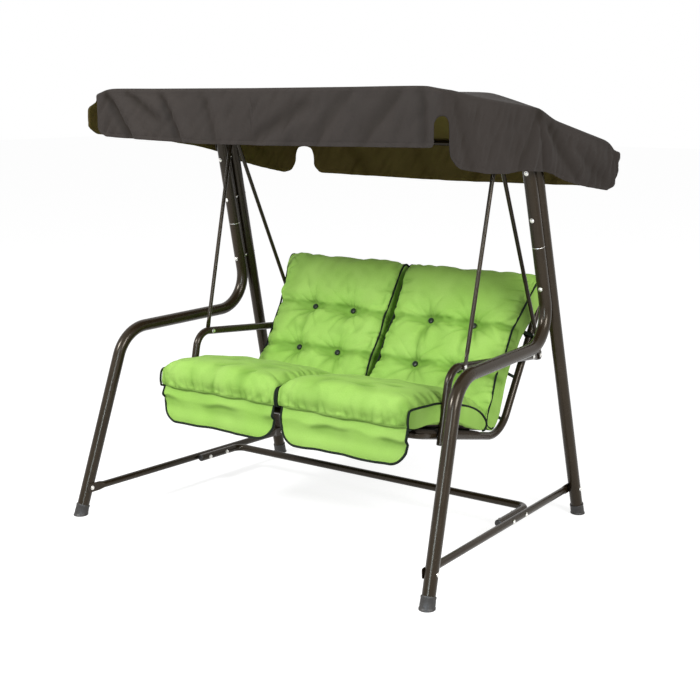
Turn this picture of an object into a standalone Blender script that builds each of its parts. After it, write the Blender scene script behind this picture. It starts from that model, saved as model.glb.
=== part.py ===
"""Two-seat garden swing bench under a tilting fabric canopy, in metres, +Z up.

X runs across the bench, Y from its front to its back. The origin is on the floor, in the middle of the
object's box. The stand is fixed, the seat swings on four rods about the two hanger bolts, and the canopy
tilts about the two studs on the canopy brackets.
"""
import math

import bmesh
import bpy
from mathutils import Matrix, Vector

# Stock sizes
LEG_RADIUS = 0.024
RAIL_RADIUS = 0.014
CROSSBAR_RADIUS = 0.015
SEAT_TUBE_RADIUS = 0.015
CANOPY_TUBE_RADIUS = 0.010
ROD_RADIUS = 0.008
TUBE_WALL = 0.0015
TONGUE_THICKNESS = 0.004
TONGUE_TRANSITION = 0.032
PLATE_THICKNESS = 0.004
GAP = 0.0004

# Side frames: each lies in a plane that leans inwards as it rises and toes in towards the back
FRONT_FOOT_X = 0.830
SIDE_LEAN = 0.043
SIDE_TOE_IN = 0.0463
FRONT_FOOT_Y = -0.698
REAR_FOOT_Y = 0.505
FRONT_KNEE = (-0.460, 0.730)
REAR_KNEE_Z = 0.742
FRONT_KNEE_RADIUS = 0.150
REAR_KNEE_RADIUS = 0.135
POST_SLOPE = -0.247
POST_SPACING = 0.060
POST_JOINT_Z = 1.112
SPIGOT_LENGTH = 0.060
REAR_LEG_TOP_Z = 1.455
LEG_END_Z = 0.016
POST_BOLT_Z = {"lower": 0.957, "middle": 1.218, "upper": 1.391}
BEAM_Z = 1.642
BEAM_BEND_RADIUS = 0.175

# Feet, bottom rails and crossbar
CAP_HEIGHT = 0.045
CAP_RIM_HEIGHT = 0.007
CAP_RIM_RADIUS = 0.029
CAP_SLEEVE_RADIUS = 0.0264
RAIL_Z = 0.112
CROSSBAR_Y = 0.160
CROSSBAR_END_Y = -0.078
CROSSBAR_BEND_RADIUS = 0.040
CROSSBAR_BOLT_Y = {"front": -0.034, "rear": 0.068}

# Seat, hung from the hanger bolts
SWING_Y = 0.042
SWING_Z = 1.509
HANGER_X = 0.631
HANGER_PLATE_TOP_Z = 1.615
ARM_X = 0.6085
SEAT_TUBE_X = 0.578
SEAT_POINT = (-0.3405, 0.477)
SEAT_SLOPE = -0.222
SEAT_FRONT_Y = -0.400
SEAT_REAR_Y = 0.106
SEAT_BEND_RADIUS = 0.060
BACK_POINT = (0.355, 0.612)
BACK_SLOPE = 0.605
BACK_TOP_Z = 0.905
BACK_SPIGOT_LENGTH = 0.050
BACK_BOTTOM_BEND_RADIUS = 0.130
BACK_TOP_BEND_RADIUS = 0.070
ARM_FOOT = (-0.278, 0.432)
ARM_CORNER = (-0.220, 0.704)
ARM_BEND_RADIUS = 0.070
FRONT_ROD_BOLT_Y = -0.145
REAR_ROD_BOLT = (0.450, 0.642)
SLING_THICKNESS = 0.0025
SLING_HALF_WIDTH = 0.572
SEAT_SLING_SPAN = (-0.070, 0.380)
BACK_SLING_SPAN = (-0.190, 0.280)

# Cushions
CUSHION_INNER_X = 0.003
CUSHION_OUTER_X = 0.591
SEAT_CUSHION_SPAN = (-0.140, 0.405)
SEAT_EDGE_HEIGHTS = (0.034, 0.108)
SEAT_CROWN = 0.042
BACK_CUSHION_SPAN = (-0.285, 0.345)
BACK_EDGE_HEIGHTS = (0.038, 0.128)
BACK_CROWN = 0.034
BACK_DISH = 0.022
BACK_FLARE = 0.014
TUFT_X = (0.194, 0.396)
TUFT_ALONG = (-0.102, 0.095)
TUFT_DEPTH = 0.034
TUFT_REACH = 0.055
FLAP_Y = -0.449
FLAP_X = (0.020, 0.582)
FLAP_Z = (0.388, 0.515)
FLAP_THICKNESS = 0.005
FLAP_CORNER_RADIUS = 0.060

# Canopy, tilting about its two studs
BRACKET_FOOT_Z = 1.425
CANOPY_Y = 0.065
CANOPY_Z = 1.597
CANOPY_TUBE_X = 0.772
CANOPY_FRONT = (-0.572, 1.668)
CANOPY_REAR = (0.706, 1.452)
CANOPY_REAR_BEND = (0.130, 1.563)
CANOPY_CORNER_RADIUS = 0.060
CANOPY_SIDE_BEND_RADIUS = 0.050
CANOPY_TONGUE_LENGTH = 0.044
COVER_HALF_WIDTH = 0.789
COVER_FRONT_Y = -0.586
COVER_REAR_Y = 0.7195
COVER_FRONT_Z = 1.686
COVER_REAR_Z = 1.468
COVER_RIDGE_Y = 0.075
COVER_RIDGE_Z = 1.676
COVER_SIDE_RIDGE_Z = 1.616
COVER_SIDE_DIP = (0.190, 1.572)
COVER_FLAT_HALF_WIDTH = 0.585
COVER_THICKNESS = 0.0025
VALANCE_DROP = {"front": 0.183, "rear": 0.176}
SIDE_HEM = (
    (COVER_FRONT_Y, 1.462),
    (-0.470, 1.432),
    (0.110, 1.400),
    (0.280, 1.342),
    (0.600, 1.300),
    (COVER_REAR_Y, 1.330),
)
SIDE_FLARE = 0.012
VALANCE_SLIT_WIDTH = 0.028
VALANCE_SLIT_START = 0.40

# Fasteners
BOLT_RADIUS = 0.004
BOLT_HOLE_RADIUS = 0.0052
SWING_BOLT_RADIUS = 0.005
SWING_HOLE_RADIUS = 0.0062
HEAD_RADIUS = 0.0075
HEAD_HEIGHT = 0.005
SPACER_RADIUS = 0.009

# Facets
LEG_SIDES = 12
TUBE_SIDES = 8
ROD_SIDES = 8
CANOPY_SIDES = 6
BOLT_SIDES = 6
HOLE_SIDES = 8
BEND_STEPS = 4

FINISHES = {
    "powder_coat": ((0.021, 0.016, 0.013), 0.38, 0.0),
    "zinc": ((0.62, 0.61, 0.58), 0.32, 1.0),
    "cap_plastic": ((0.045, 0.042, 0.040), 0.55, 0.0),
    "sling_fabric": ((0.030, 0.021, 0.014), 0.85, 0.0),
    "green_fabric": ((0.305, 0.645, 0.115), 0.80, 0.0),
    "canopy_fabric": ((0.070, 0.061, 0.057), 0.82, 0.0),
}


def clear_scene():
    for item in list(bpy.data.objects):
        bpy.data.objects.remove(item, do_unlink=True)


def make_finishes():
    finishes = {}
    for name, (colour, roughness, metallic) in FINISHES.items():
        material = bpy.data.materials.new(name)
        material.use_nodes = True
        shader = material.node_tree.nodes["Principled BSDF"]
        shader.inputs["Base Color"].default_value = (*colour, 1.0)
        shader.inputs["Roughness"].default_value = roughness
        shader.inputs["Metallic"].default_value = metallic
        finishes[name] = material
    return finishes


def make_body(name, location):
    """An empty that carries one rigid body's pieces, on that body's joint axis."""
    empty = bpy.data.objects.new(name, None)
    empty.location = location
    bpy.context.collection.objects.link(empty)
    return empty


def link_mesh(name, bm, origin):
    bmesh.ops.recalc_face_normals(bm, faces=bm.faces)
    bmesh.ops.translate(bm, vec=-Vector(origin), verts=bm.verts)
    mesh = bpy.data.meshes.new(name)
    bm.to_mesh(mesh)
    bm.free()
    item = bpy.data.objects.new(name, mesh)
    bpy.context.collection.objects.link(item)
    return item


def add_piece(name, bm, finish, body, holes=(), smooth_angle=40):
    """One named solid on its body, drilled through where it has holes."""
    item = link_mesh(name, bm, body.location)
    item.parent = body
    item.data.materials.append(finish)
    item.data.shade_smooth()
    item.data.set_sharp_from_angle(angle=math.radians(smooth_angle))
    if holes:
        combine(item, name + "_drill", drill_mesh(holes), "DIFFERENCE", body)
    return item


def combine(item, helper_name, bm, operation, body):
    """Cuts or joins a hidden helper shape into a piece."""
    helper = link_mesh(helper_name, bm, body.location)
    helper.parent = body
    helper.hide_render = True
    helper.display_type = "WIRE"
    step = item.modifiers.new(helper_name, "BOOLEAN")
    step.operation = operation
    step.solver = "EXACT"
    step.object = helper


def mirror_mesh(bm):
    """The left-hand twin of a right-hand shape."""
    for vertex in bm.verts:
        vertex.co.x = -vertex.co.x
    bmesh.ops.reverse_faces(bm, faces=bm.faces)
    return bm


def mirror_holes(holes):
    flip = Matrix.Diagonal((-1.0, 1.0, 1.0))
    return [(flip @ point, flip @ axis, radius, length) for point, axis, radius, length in holes]


def add_pair(name, build, finish, body, holes=()):
    """The right-hand and the left-hand piece of a mirrored pair."""
    add_piece(name + "_right", build(), finish, body, holes)
    add_piece(name + "_left", mirror_mesh(build()), finish, body, mirror_holes(holes))


def square_axes(axis):
    """Two unit vectors at right angles to an axis and to each other."""
    helper = Vector((0, 0, 1)) if abs(axis.z) < 0.9 else Vector((0, 1, 0))
    first = axis.cross(helper).normalized()
    return first, axis.cross(first)


def join_rings(bm, rings):
    for below, above in zip(rings, rings[1:]):
        count = len(below)
        for i in range(count):
            j = (i + 1) % count
            bm.faces.new((below[i], below[j], above[j], above[i]))


def turned_mesh(profile, origin, axis, sides):
    """A solid of revolution from (distance along the axis, radius) pairs."""
    bm = bmesh.new()
    add_turned(bm, profile, origin, axis, sides)
    return bm


def add_turned(bm, profile, origin, axis, sides):
    axis = axis.normalized()
    first, second = square_axes(axis)
    rings = []
    for distance, radius in profile:
        centre = origin + axis * distance
        ring = []
        for i in range(sides):
            angle = 2 * math.pi * (i + 0.5) / sides
            outward = first * math.cos(angle) + second * math.sin(angle)
            ring.append(bm.verts.new(centre + outward * radius))
        rings.append(ring)
    join_rings(bm, rings)
    bm.faces.new(rings[0])
    bm.faces.new(rings[-1])


def drill_mesh(holes):
    bm = bmesh.new()
    for point, axis, radius, length in holes:
        half = length / 2
        add_turned(bm, [(-half, radius), (half, radius)], point, axis, HOLE_SIDES)
    return bm


def bolt_mesh(start, axis, grip, shank=BOLT_RADIUS, spacer=None):
    """Hexagon bolt with its nut: the head's bearing face is at start and the shank runs along axis."""
    profile = [(-HEAD_HEIGHT, HEAD_RADIUS), (0, HEAD_RADIUS), (0, shank)]
    if spacer:
        first, last = spacer
        profile += [(first, shank), (first, SPACER_RADIUS), (last, SPACER_RADIUS), (last, shank)]
    profile += [(grip, shank), (grip, HEAD_RADIUS), (grip + HEAD_HEIGHT, HEAD_RADIUS)]
    return turned_mesh(profile, start, axis, BOLT_SIDES)


def rounded_path(corners, radii):
    """A centreline through the corners, with each inner corner bent to its radius."""
    points = [corners[0]]
    for before, corner, after, radius in zip(corners, corners[1:], corners[2:], radii):
        inward = (before - corner).normalized()
        outward = (after - corner).normalized()
        half_turn = (math.pi - inward.angle(outward)) / 2
        centre = corner + (inward + outward).normalized() * radius / math.cos(half_turn)
        arm = corner + inward * radius * math.tan(half_turn) - centre
        axis = inward.cross(outward).normalized()
        for step in range(BEND_STEPS + 1):
            turn = -2 * half_turn * step / BEND_STEPS
            points.append(centre + Matrix.Rotation(turn, 3, axis) @ arm)
    points.append(corners[-1])
    return points


def path_directions(points):
    directions = []
    for i in range(len(points)):
        before = points[max(i - 1, 0)]
        after = points[min(i + 1, len(points) - 1)]
        incoming = (points[i] - before).normalized()
        outgoing = (after - points[i]).normalized()
        directions.append((incoming + outgoing).normalized())
    return directions


def end_stations(point, inward, end, round_section):
    """Extra sections at a tube's end: a pressed flat tongue, a slimmer spigot, or the plain end."""
    if end is None:
        return [(point, round_section)]
    if end[0] == "spigot":
        _, length, radius = end
        shoulder = point + inward * length
        slim = (radius, radius, 1.0)
        return [(point, slim), (shoulder, slim), (shoulder, round_section)]
    _, length, half_width = end
    flat = (TONGUE_THICKNESS / 2, half_width, 0.3)
    rounded = point + inward * (length + TONGUE_TRANSITION)
    return [(point, flat), (point + inward * length, flat), (rounded, round_section)]


def tube_mesh(corners, radii, radius, normal, sides, start=None, end=None, wall=TUBE_WALL):
    """A bent tube, or a bar where wall is 0. A pressed end lies square to the given normal."""
    points = rounded_path(corners, radii)
    directions = path_directions(points)
    plain = (radius, radius, 1.0)
    stations = [(p, s, directions[0]) for p, s in end_stations(points[0], directions[0], start, plain)]
    stations += [(p, plain, d) for p, d in zip(points[1:-1], directions[1:-1])]
    last = [(p, s, directions[-1]) for p, s in end_stations(points[-1], -directions[-1], end, plain)]
    stations += reversed(last)
    bm = bmesh.new()
    outer_rings, inner_rings = [], []
    across = normal.normalized()
    heading = stations[0][2]
    for point, (half_across, half_wide, squareness), direction in stations:
        across = heading.rotation_difference(direction) @ across
        heading = direction
        wide = direction.cross(across).normalized()
        for rings, inset in ((outer_rings, 0.0), (inner_rings, wall)):
            ring = []
            for i in range(sides):
                angle = 2 * math.pi * (i + 0.5) / sides
                lift = math.copysign(abs(math.cos(angle)) ** squareness, math.cos(angle))
                offset = across * (half_across - inset) * lift
                offset += wide * (half_wide - inset) * math.sin(angle)
                ring.append(point + offset)
            rings.append(ring)
    outer = [[bm.verts.new(p) for p in ring] for ring in outer_rings]
    join_rings(bm, outer)
    if wall:
        inner = [[bm.verts.new(p) for p in ring] for ring in inner_rings]
        join_rings(bm, inner)
        join_rings(bm, [outer[0], inner[0]])
        join_rings(bm, [outer[-1], inner[-1]])
    else:
        bm.faces.new(outer[0])
        bm.faces.new(outer[-1])
    return bm


def plate_mesh(outline, x_low, x_high):
    """A flat plate across X from its (y, z) outline."""
    bm = bmesh.new()
    low = [bm.verts.new((x_low, y, z)) for y, z in outline]
    high = [bm.verts.new((x_high, y, z)) for y, z in outline]
    join_rings(bm, [low, high])
    bm.faces.new(low)
    bm.faces.new(high)
    return bm


def tongue_outline(y, z, half_width, top_z, top_half_width, steps=6):
    """A plate's outline, round below its eye at (y, z) and straight up to its top edge."""
    outline = []
    for step in range(steps + 1):
        angle = math.pi * (1 + step / steps)
        outline.append((y + half_width * math.cos(angle), z + half_width * math.sin(angle)))
    return outline + [(y + top_half_width, top_z), (y - top_half_width, top_z)]


# Centrelines

SIDE_NORMAL = Vector((1.0, SIDE_TOE_IN, SIDE_LEAN)).normalized()
POST_DIRECTION = Vector((-SIDE_LEAN - SIDE_TOE_IN * POST_SLOPE, POST_SLOPE, 1.0)).normalized()
POST_BACKWARD = SIDE_NORMAL.cross(POST_DIRECTION).normalized()
if POST_BACKWARD.y < 0:
    POST_BACKWARD = -POST_BACKWARD
POST_SPACING_Y = POST_SPACING * math.sqrt(1 + POST_SLOPE ** 2)
X_AXIS = Vector((1.0, 0.0, 0.0))
SEAT_ALONG = Vector((0, 1.0, SEAT_SLOPE)).normalized()
SEAT_UP = Vector((0, -SEAT_SLOPE, 1.0)).normalized()
SEAT_ORIGIN = Vector((0, *SEAT_POINT))
BACK_ALONG = Vector((0, BACK_SLOPE, 1.0)).normalized()
BACK_FORWARD = Vector((0, -1.0, BACK_SLOPE)).normalized()
BACK_ORIGIN = Vector((0, *BACK_POINT))


def side_point(y, z):
    """The point of the right-hand side frame's plane at a depth and a height."""
    return Vector((FRONT_FOOT_X - SIDE_LEAN * z - SIDE_TOE_IN * (y - FRONT_FOOT_Y), y, z))


def front_leg_point(z):
    share = z / FRONT_KNEE[1]
    return side_point(FRONT_FOOT_Y + (FRONT_KNEE[0] - FRONT_FOOT_Y) * share, z)


def rear_leg_point(z):
    return side_point(REAR_FOOT_Y + POST_SLOPE * z, z)


def post_point(z):
    return side_point(REAR_FOOT_Y + POST_SLOPE * z - POST_SPACING_Y, z)


def rail_point(y):
    return side_point(y, RAIL_Z) - SIDE_NORMAL * (LEG_RADIUS + TONGUE_THICKNESS / 2 + GAP)


def crossbar_side_point(y):
    return rail_point(y) - SIDE_NORMAL * (RAIL_RADIUS + CROSSBAR_RADIUS + GAP)


def seat_z(y):
    return SEAT_POINT[1] + SEAT_SLOPE * (y - SEAT_POINT[0])


def back_y(z):
    return BACK_POINT[0] + BACK_SLOPE * (z - BACK_POINT[1])


def back_corner():
    """Where the back's line meets the seat's line, as (y, z)."""
    start_z = seat_z(BACK_POINT[0])
    y = BACK_POINT[0] + BACK_SLOPE * (start_z - BACK_POINT[1]) / (1 - BACK_SLOPE * SEAT_SLOPE)
    return y, seat_z(y)


def arm_z(y):
    share = (y - ARM_CORNER[0]) / (REAR_ROD_BOLT[0] - ARM_CORNER[0])
    return ARM_CORNER[1] + (REAR_ROD_BOLT[1] - ARM_CORNER[1]) * share


def arm_seat_crossing():
    """Where the armrest's upright crosses the seat's side tube, as (y, z)."""
    slope = (ARM_CORNER[0] - ARM_FOOT[0]) / (ARM_CORNER[1] - ARM_FOOT[1])
    y = ARM_FOOT[0]
    for _ in range(8):
        y = ARM_FOOT[0] + slope * (seat_z(y) - ARM_FOOT[1])
    return y, seat_z(y)


def arm_back_crossing():
    """Where the armrest's run crosses the back's side tube, as (y, z)."""
    z = REAR_ROD_BOLT[1]
    for _ in range(8):
        z = arm_z(back_y(z))
    return back_y(z), z


# Stand

def front_leg_mesh():
    corners = [
        front_leg_point(LEG_END_Z),
        side_point(*FRONT_KNEE),
        post_point(REAR_KNEE_Z),
        post_point(POST_JOINT_Z) - POST_DIRECTION * GAP,
    ]
    return tube_mesh(corners, [FRONT_KNEE_RADIUS, REAR_KNEE_RADIUS], LEG_RADIUS, SIDE_NORMAL, LEG_SIDES)


def rear_leg_mesh():
    corners = [rear_leg_point(LEG_END_Z), rear_leg_point(REAR_LEG_TOP_Z)]
    return tube_mesh(corners, [], LEG_RADIUS, SIDE_NORMAL, LEG_SIDES)


def hoop_corners():
    right_end = post_point(POST_JOINT_Z) - POST_DIRECTION * SPIGOT_LENGTH
    right_top = post_point(BEAM_Z)
    mirror = Matrix.Diagonal((-1.0, 1.0, 1.0))
    return [right_end, right_top, mirror @ right_top, mirror @ right_end]


def top_hoop_mesh(radius=LEG_RADIUS, wall=TUBE_WALL):
    corners = hoop_corners()
    normal = (corners[1] - corners[0]).cross(X_AXIS).normalized()
    spigot = ("spigot", SPIGOT_LENGTH, LEG_RADIUS - TUBE_WALL - 2 * GAP)
    bends = [BEAM_BEND_RADIUS, BEAM_BEND_RADIUS]
    ends = {"start": spigot, "end": spigot} if wall else {}
    return tube_mesh(corners, bends, radius, normal, LEG_SIDES, wall=wall, **ends)


def foot_cap_mesh(leg_point):
    """A flared cap: flat on the floor, and square to the leg at its top."""
    foot = leg_point(0.0)
    axis = (leg_point(1.0) - foot).normalized()
    upright = Vector((0, 0, 1))
    bore_radius = LEG_RADIUS + GAP
    floor = (leg_point(LEG_END_Z) - foot).length - GAP
    profile = [
        (0.0, CAP_RIM_RADIUS, 0.0),
        (CAP_RIM_HEIGHT, CAP_RIM_RADIUS, 0.0),
        (CAP_RIM_HEIGHT * 2.2, CAP_SLEEVE_RADIUS + 0.0006, 0.6),
        (CAP_HEIGHT, CAP_SLEEVE_RADIUS, 1.0),
        (CAP_HEIGHT, bore_radius, 1.0),
        (floor, bore_radius, 1.0),
    ]
    bm = bmesh.new()
    rings = []
    for distance, radius, squared in profile:
        facing = upright.lerp(axis, squared).normalized()
        wide = facing.cross(X_AXIS).normalized()
        across = wide.cross(facing)
        centre = foot + axis * (distance / (axis.z if squared == 0 else 1.0))
        ring = []
        for i in range(LEG_SIDES):
            angle = 2 * math.pi * (i + 0.5) / LEG_SIDES
            ring.append(bm.verts.new(centre + (across * math.cos(angle) + wide * math.sin(angle)) * radius))
        rings.append(ring)
    join_rings(bm, rings)
    bm.faces.new(rings[0])
    bm.faces.new(rings[-1])
    return bm


def rail_mesh():
    reach = 0.018
    front_y = front_leg_point(RAIL_Z).y - reach
    rear_y = rear_leg_point(RAIL_Z).y + reach
    tongue = ("tongue", 0.050, 0.019)
    corners = [rail_point(front_y), rail_point(rear_y)]
    return tube_mesh(corners, [], RAIL_RADIUS, SIDE_NORMAL, TUBE_SIDES, start=tongue, end=tongue)


def crossbar_mesh():
    right_end = crossbar_side_point(CROSSBAR_END_Y)
    right_bend = crossbar_side_point(CROSSBAR_Y)
    mirror = Matrix.Diagonal((-1.0, 1.0, 1.0))
    corners = [right_end, right_bend, mirror @ right_bend, mirror @ right_end]
    bends = [CROSSBAR_BEND_RADIUS, CROSSBAR_BEND_RADIUS]
    return tube_mesh(corners, bends, CROSSBAR_RADIUS, Vector((0, 0, 1)), TUBE_SIDES)


def hanger_plate_mesh():
    half = PLATE_THICKNESS / 2
    outline = tongue_outline(SWING_Y, SWING_Z, 0.016, HANGER_PLATE_TOP_Z, 0.018)
    return plate_mesh(outline, HANGER_X - half, HANGER_X + half)


def bracket_inner_x():
    return post_point(BRACKET_FOOT_Z).x + LEG_RADIUS + GAP


def canopy_bracket_mesh():
    """Upright plate on the post's outer side, round at its top, for the stud that the canopy tilts on."""
    x_low = bracket_inner_x()
    half_width = 0.014
    foot = 2 * CANOPY_Z - BRACKET_FOOT_Z
    hanging = tongue_outline(CANOPY_Y, CANOPY_Z, half_width, foot, half_width)
    foot_shift = post_point(BRACKET_FOOT_Z).y - CANOPY_Y
    outline = []
    for y, z in hanging:
        share = max(z - CANOPY_Z, 0.0) / (foot - CANOPY_Z)
        outline.append((y + foot_shift * share, 2 * CANOPY_Z - z))
    return plate_mesh(outline, x_low, x_low + PLATE_THICKNESS)


def add_stand(finishes, body):
    coat, zinc, plastic = finishes["powder_coat"], finishes["zinc"], finishes["cap_plastic"]
    through = 0.200

    post_holes = {}
    for level, z in POST_BOLT_Z.items():
        post_holes[level] = (post_point(z), POST_BACKWARD, BOLT_HOLE_RADIUS, through)
    rail_front = front_leg_point(RAIL_Z)
    rail_rear = rear_leg_point(RAIL_Z)
    rail_holes = {
        "front": (rail_front, SIDE_NORMAL, BOLT_HOLE_RADIUS, through),
        "rear": (rail_rear, SIDE_NORMAL, BOLT_HOLE_RADIUS, through),
    }
    crossbar_holes = {}
    for place, y in CROSSBAR_BOLT_Y.items():
        crossbar_holes[place] = (rail_point(y), SIDE_NORMAL, BOLT_HOLE_RADIUS, through)

    add_pair("front_leg", front_leg_mesh, coat, body, [post_holes["lower"], rail_holes["front"]])
    add_pair("rear_leg", rear_leg_mesh, coat, body, [*post_holes.values(), rail_holes["rear"]])
    add_pair("bottom_rail", rail_mesh, coat, body, [*rail_holes.values(), *crossbar_holes.values()])
    side_holes = list(crossbar_holes.values())
    add_piece("crossbar", crossbar_mesh(), coat, body, side_holes + mirror_holes(side_holes))
    side_holes = [post_holes["middle"], post_holes["upper"]]
    add_piece("top_hoop", top_hoop_mesh(), coat, body, side_holes + mirror_holes(side_holes))
    add_pair("foot_cap_front", lambda: foot_cap_mesh(front_leg_point), plastic, body)
    add_pair("foot_cap_rear", lambda: foot_cap_mesh(rear_leg_point), plastic, body)

    clear = LEG_RADIUS + GAP
    spacer = (2 * clear, POST_SPACING - GAP)
    for level, z in POST_BOLT_Z.items():
        start = post_point(z) - POST_BACKWARD * clear
        grip = POST_SPACING + 2 * clear
        build = lambda: bolt_mesh(start, POST_BACKWARD, grip, spacer=spacer)
        add_pair("post_bolt_" + level, build, zinc, body)
    for place, centre in (("front", rail_front), ("rear", rail_rear)):
        start = centre + SIDE_NORMAL * clear
        grip = 2 * clear + TONGUE_THICKNESS + GAP
        add_pair("rail_bolt_" + place, lambda: bolt_mesh(start, -SIDE_NORMAL, grip), zinc, body)
    for place, y in CROSSBAR_BOLT_Y.items():
        start = rail_point(y) + SIDE_NORMAL * (RAIL_RADIUS + GAP)
        grip = 2 * (RAIL_RADIUS + CROSSBAR_RADIUS) + 3 * GAP
        add_pair("crossbar_bolt_" + place, lambda: bolt_mesh(start, -SIDE_NORMAL, grip), zinc, body)

    swing_axle = Vector((HANGER_X, SWING_Y, SWING_Z))
    swing_hole = (swing_axle, X_AXIS, SWING_HOLE_RADIUS, 0.030)
    add_pair("hanger_plate", hanger_plate_mesh, coat, body, [swing_hole])
    for side in ("right", "left"):
        plate = bpy.data.objects["hanger_plate_" + side]
        # the top of the plate follows the underside of the hoop it is welded to
        combine(plate, plate.name + "_trim", top_hoop_mesh(LEG_RADIUS + GAP, 0), "DIFFERENCE", body)
    start = swing_axle + X_AXIS * hanger_reach()
    grip = 2 * hanger_reach()
    add_pair("hanger_bolt", lambda: bolt_mesh(start, -X_AXIS, grip, shank=SWING_BOLT_RADIUS), zinc, body)
    add_canopy_brackets(coat, body)


def hanger_reach():
    """From the hanger plate's middle to the outer face of a rod's tongue beside it."""
    return PLATE_THICKNESS / 2 + TONGUE_THICKNESS + 2 * GAP


def add_canopy_brackets(finish, body):
    """Bracket plates, each with its riveted stud joined on."""
    outer_x = bracket_inner_x() + PLATE_THICKNESS
    neck = 2 * (TONGUE_THICKNESS + GAP) + GAP
    rivet_head = 0.004
    profile = [
        (-PLATE_THICKNESS / 2, SWING_BOLT_RADIUS),
        (neck, SWING_BOLT_RADIUS),
        (neck, SPACER_RADIUS),
        (neck + rivet_head, SPACER_RADIUS),
    ]
    add_pair("canopy_bracket", canopy_bracket_mesh, finish, body)
    for side, sign in (("right", 1.0), ("left", -1.0)):
        origin = Vector((sign * outer_x, CANOPY_Y, CANOPY_Z))
        stud = turned_mesh(profile, origin, X_AXIS * sign, HOLE_SIDES)
        bracket = bpy.data.objects["canopy_bracket_" + side]
        combine(bracket, bracket.name + "_stud", stud, "UNION", body)


# Seat

def armrest_mesh():
    end_y = REAR_ROD_BOLT[0] + 0.016
    corners = [
        Vector((ARM_X, *ARM_FOOT)),
        Vector((ARM_X, *ARM_CORNER)),
        Vector((ARM_X, end_y, arm_z(end_y))),
    ]
    lug = ("tongue", 0.036, 0.019)
    return tube_mesh(corners, [ARM_BEND_RADIUS], SEAT_TUBE_RADIUS, X_AXIS, TUBE_SIDES, end=lug)


def seat_frame_mesh():
    right = [Vector((SEAT_TUBE_X, y, seat_z(y))) for y in (SEAT_REAR_Y, SEAT_FRONT_Y)]
    mirror = Matrix.Diagonal((-1.0, 1.0, 1.0))
    corners = right + [mirror @ p for p in reversed(right)]
    normal = Vector((0, -SEAT_SLOPE, 1.0))
    bends = [SEAT_BEND_RADIUS, SEAT_BEND_RADIUS]
    return tube_mesh(corners, bends, SEAT_TUBE_RADIUS, normal, TUBE_SIDES)


def back_frame_mesh():
    joint = Vector((SEAT_TUBE_X, SEAT_REAR_Y, seat_z(SEAT_REAR_Y)))
    right = [
        joint - SEAT_ALONG * (BACK_SPIGOT_LENGTH - GAP),
        Vector((SEAT_TUBE_X, *back_corner())),
        Vector((SEAT_TUBE_X, back_y(BACK_TOP_Z), BACK_TOP_Z)),
    ]
    mirror = Matrix.Diagonal((-1.0, 1.0, 1.0))
    corners = right + [mirror @ p for p in reversed(right)]
    spigot = ("spigot", BACK_SPIGOT_LENGTH, SEAT_TUBE_RADIUS - TUBE_WALL - 3 * GAP)
    bends = [BACK_BOTTOM_BEND_RADIUS, BACK_TOP_BEND_RADIUS, BACK_TOP_BEND_RADIUS, BACK_BOTTOM_BEND_RADIUS]
    return tube_mesh(corners, bends, SEAT_TUBE_RADIUS, X_AXIS, TUBE_SIDES, start=spigot, end=spigot)


def rod_mesh(top, bottom):
    reach = 0.014
    along = (bottom - top).normalized()
    tongue = ("tongue", 0.042, 0.012)
    corners = [top - along * reach, bottom + along * reach]
    return tube_mesh(corners, [], ROD_RADIUS, X_AXIS, ROD_SIDES, start=tongue, end=tongue, wall=0)


def sheet_mesh(point_at, width_steps, length_steps, thickness):
    """A closed thin sheet: point_at gives place and facing at each share across and along."""
    bm = bmesh.new()
    layers = []
    for lift in (0.0, thickness):
        rows = []
        for j in range(length_steps + 1):
            row = []
            for i in range(width_steps + 1):
                place, facing = point_at(i / width_steps, j / length_steps)
                row.append(bm.verts.new(place + facing * lift))
            rows.append(row)
        layers.append(rows)
    for rows in layers:
        for low, high in zip(rows, rows[1:]):
            for i in range(width_steps):
                bm.faces.new((low[i], low[i + 1], high[i + 1], high[i]))
    borders = []
    for rows in layers:
        border = rows[0] + [row[-1] for row in rows[1:-1]] + rows[-1][::-1]
        border += [row[0] for row in rows[-2:0:-1]]
        borders.append(border)
    join_rings(bm, borders)
    return bm


SLING_LIFT = SEAT_TUBE_RADIUS + GAP


def sling_mesh(origin, along, facing, span):
    def point_at(u, v):
        place = origin + along * (span[0] + (span[1] - span[0]) * v) + facing * SLING_LIFT
        return place + X_AXIS * SLING_HALF_WIDTH * (2 * u - 1), facing
    return sheet_mesh(point_at, 4, 2, SLING_THICKNESS)


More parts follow.
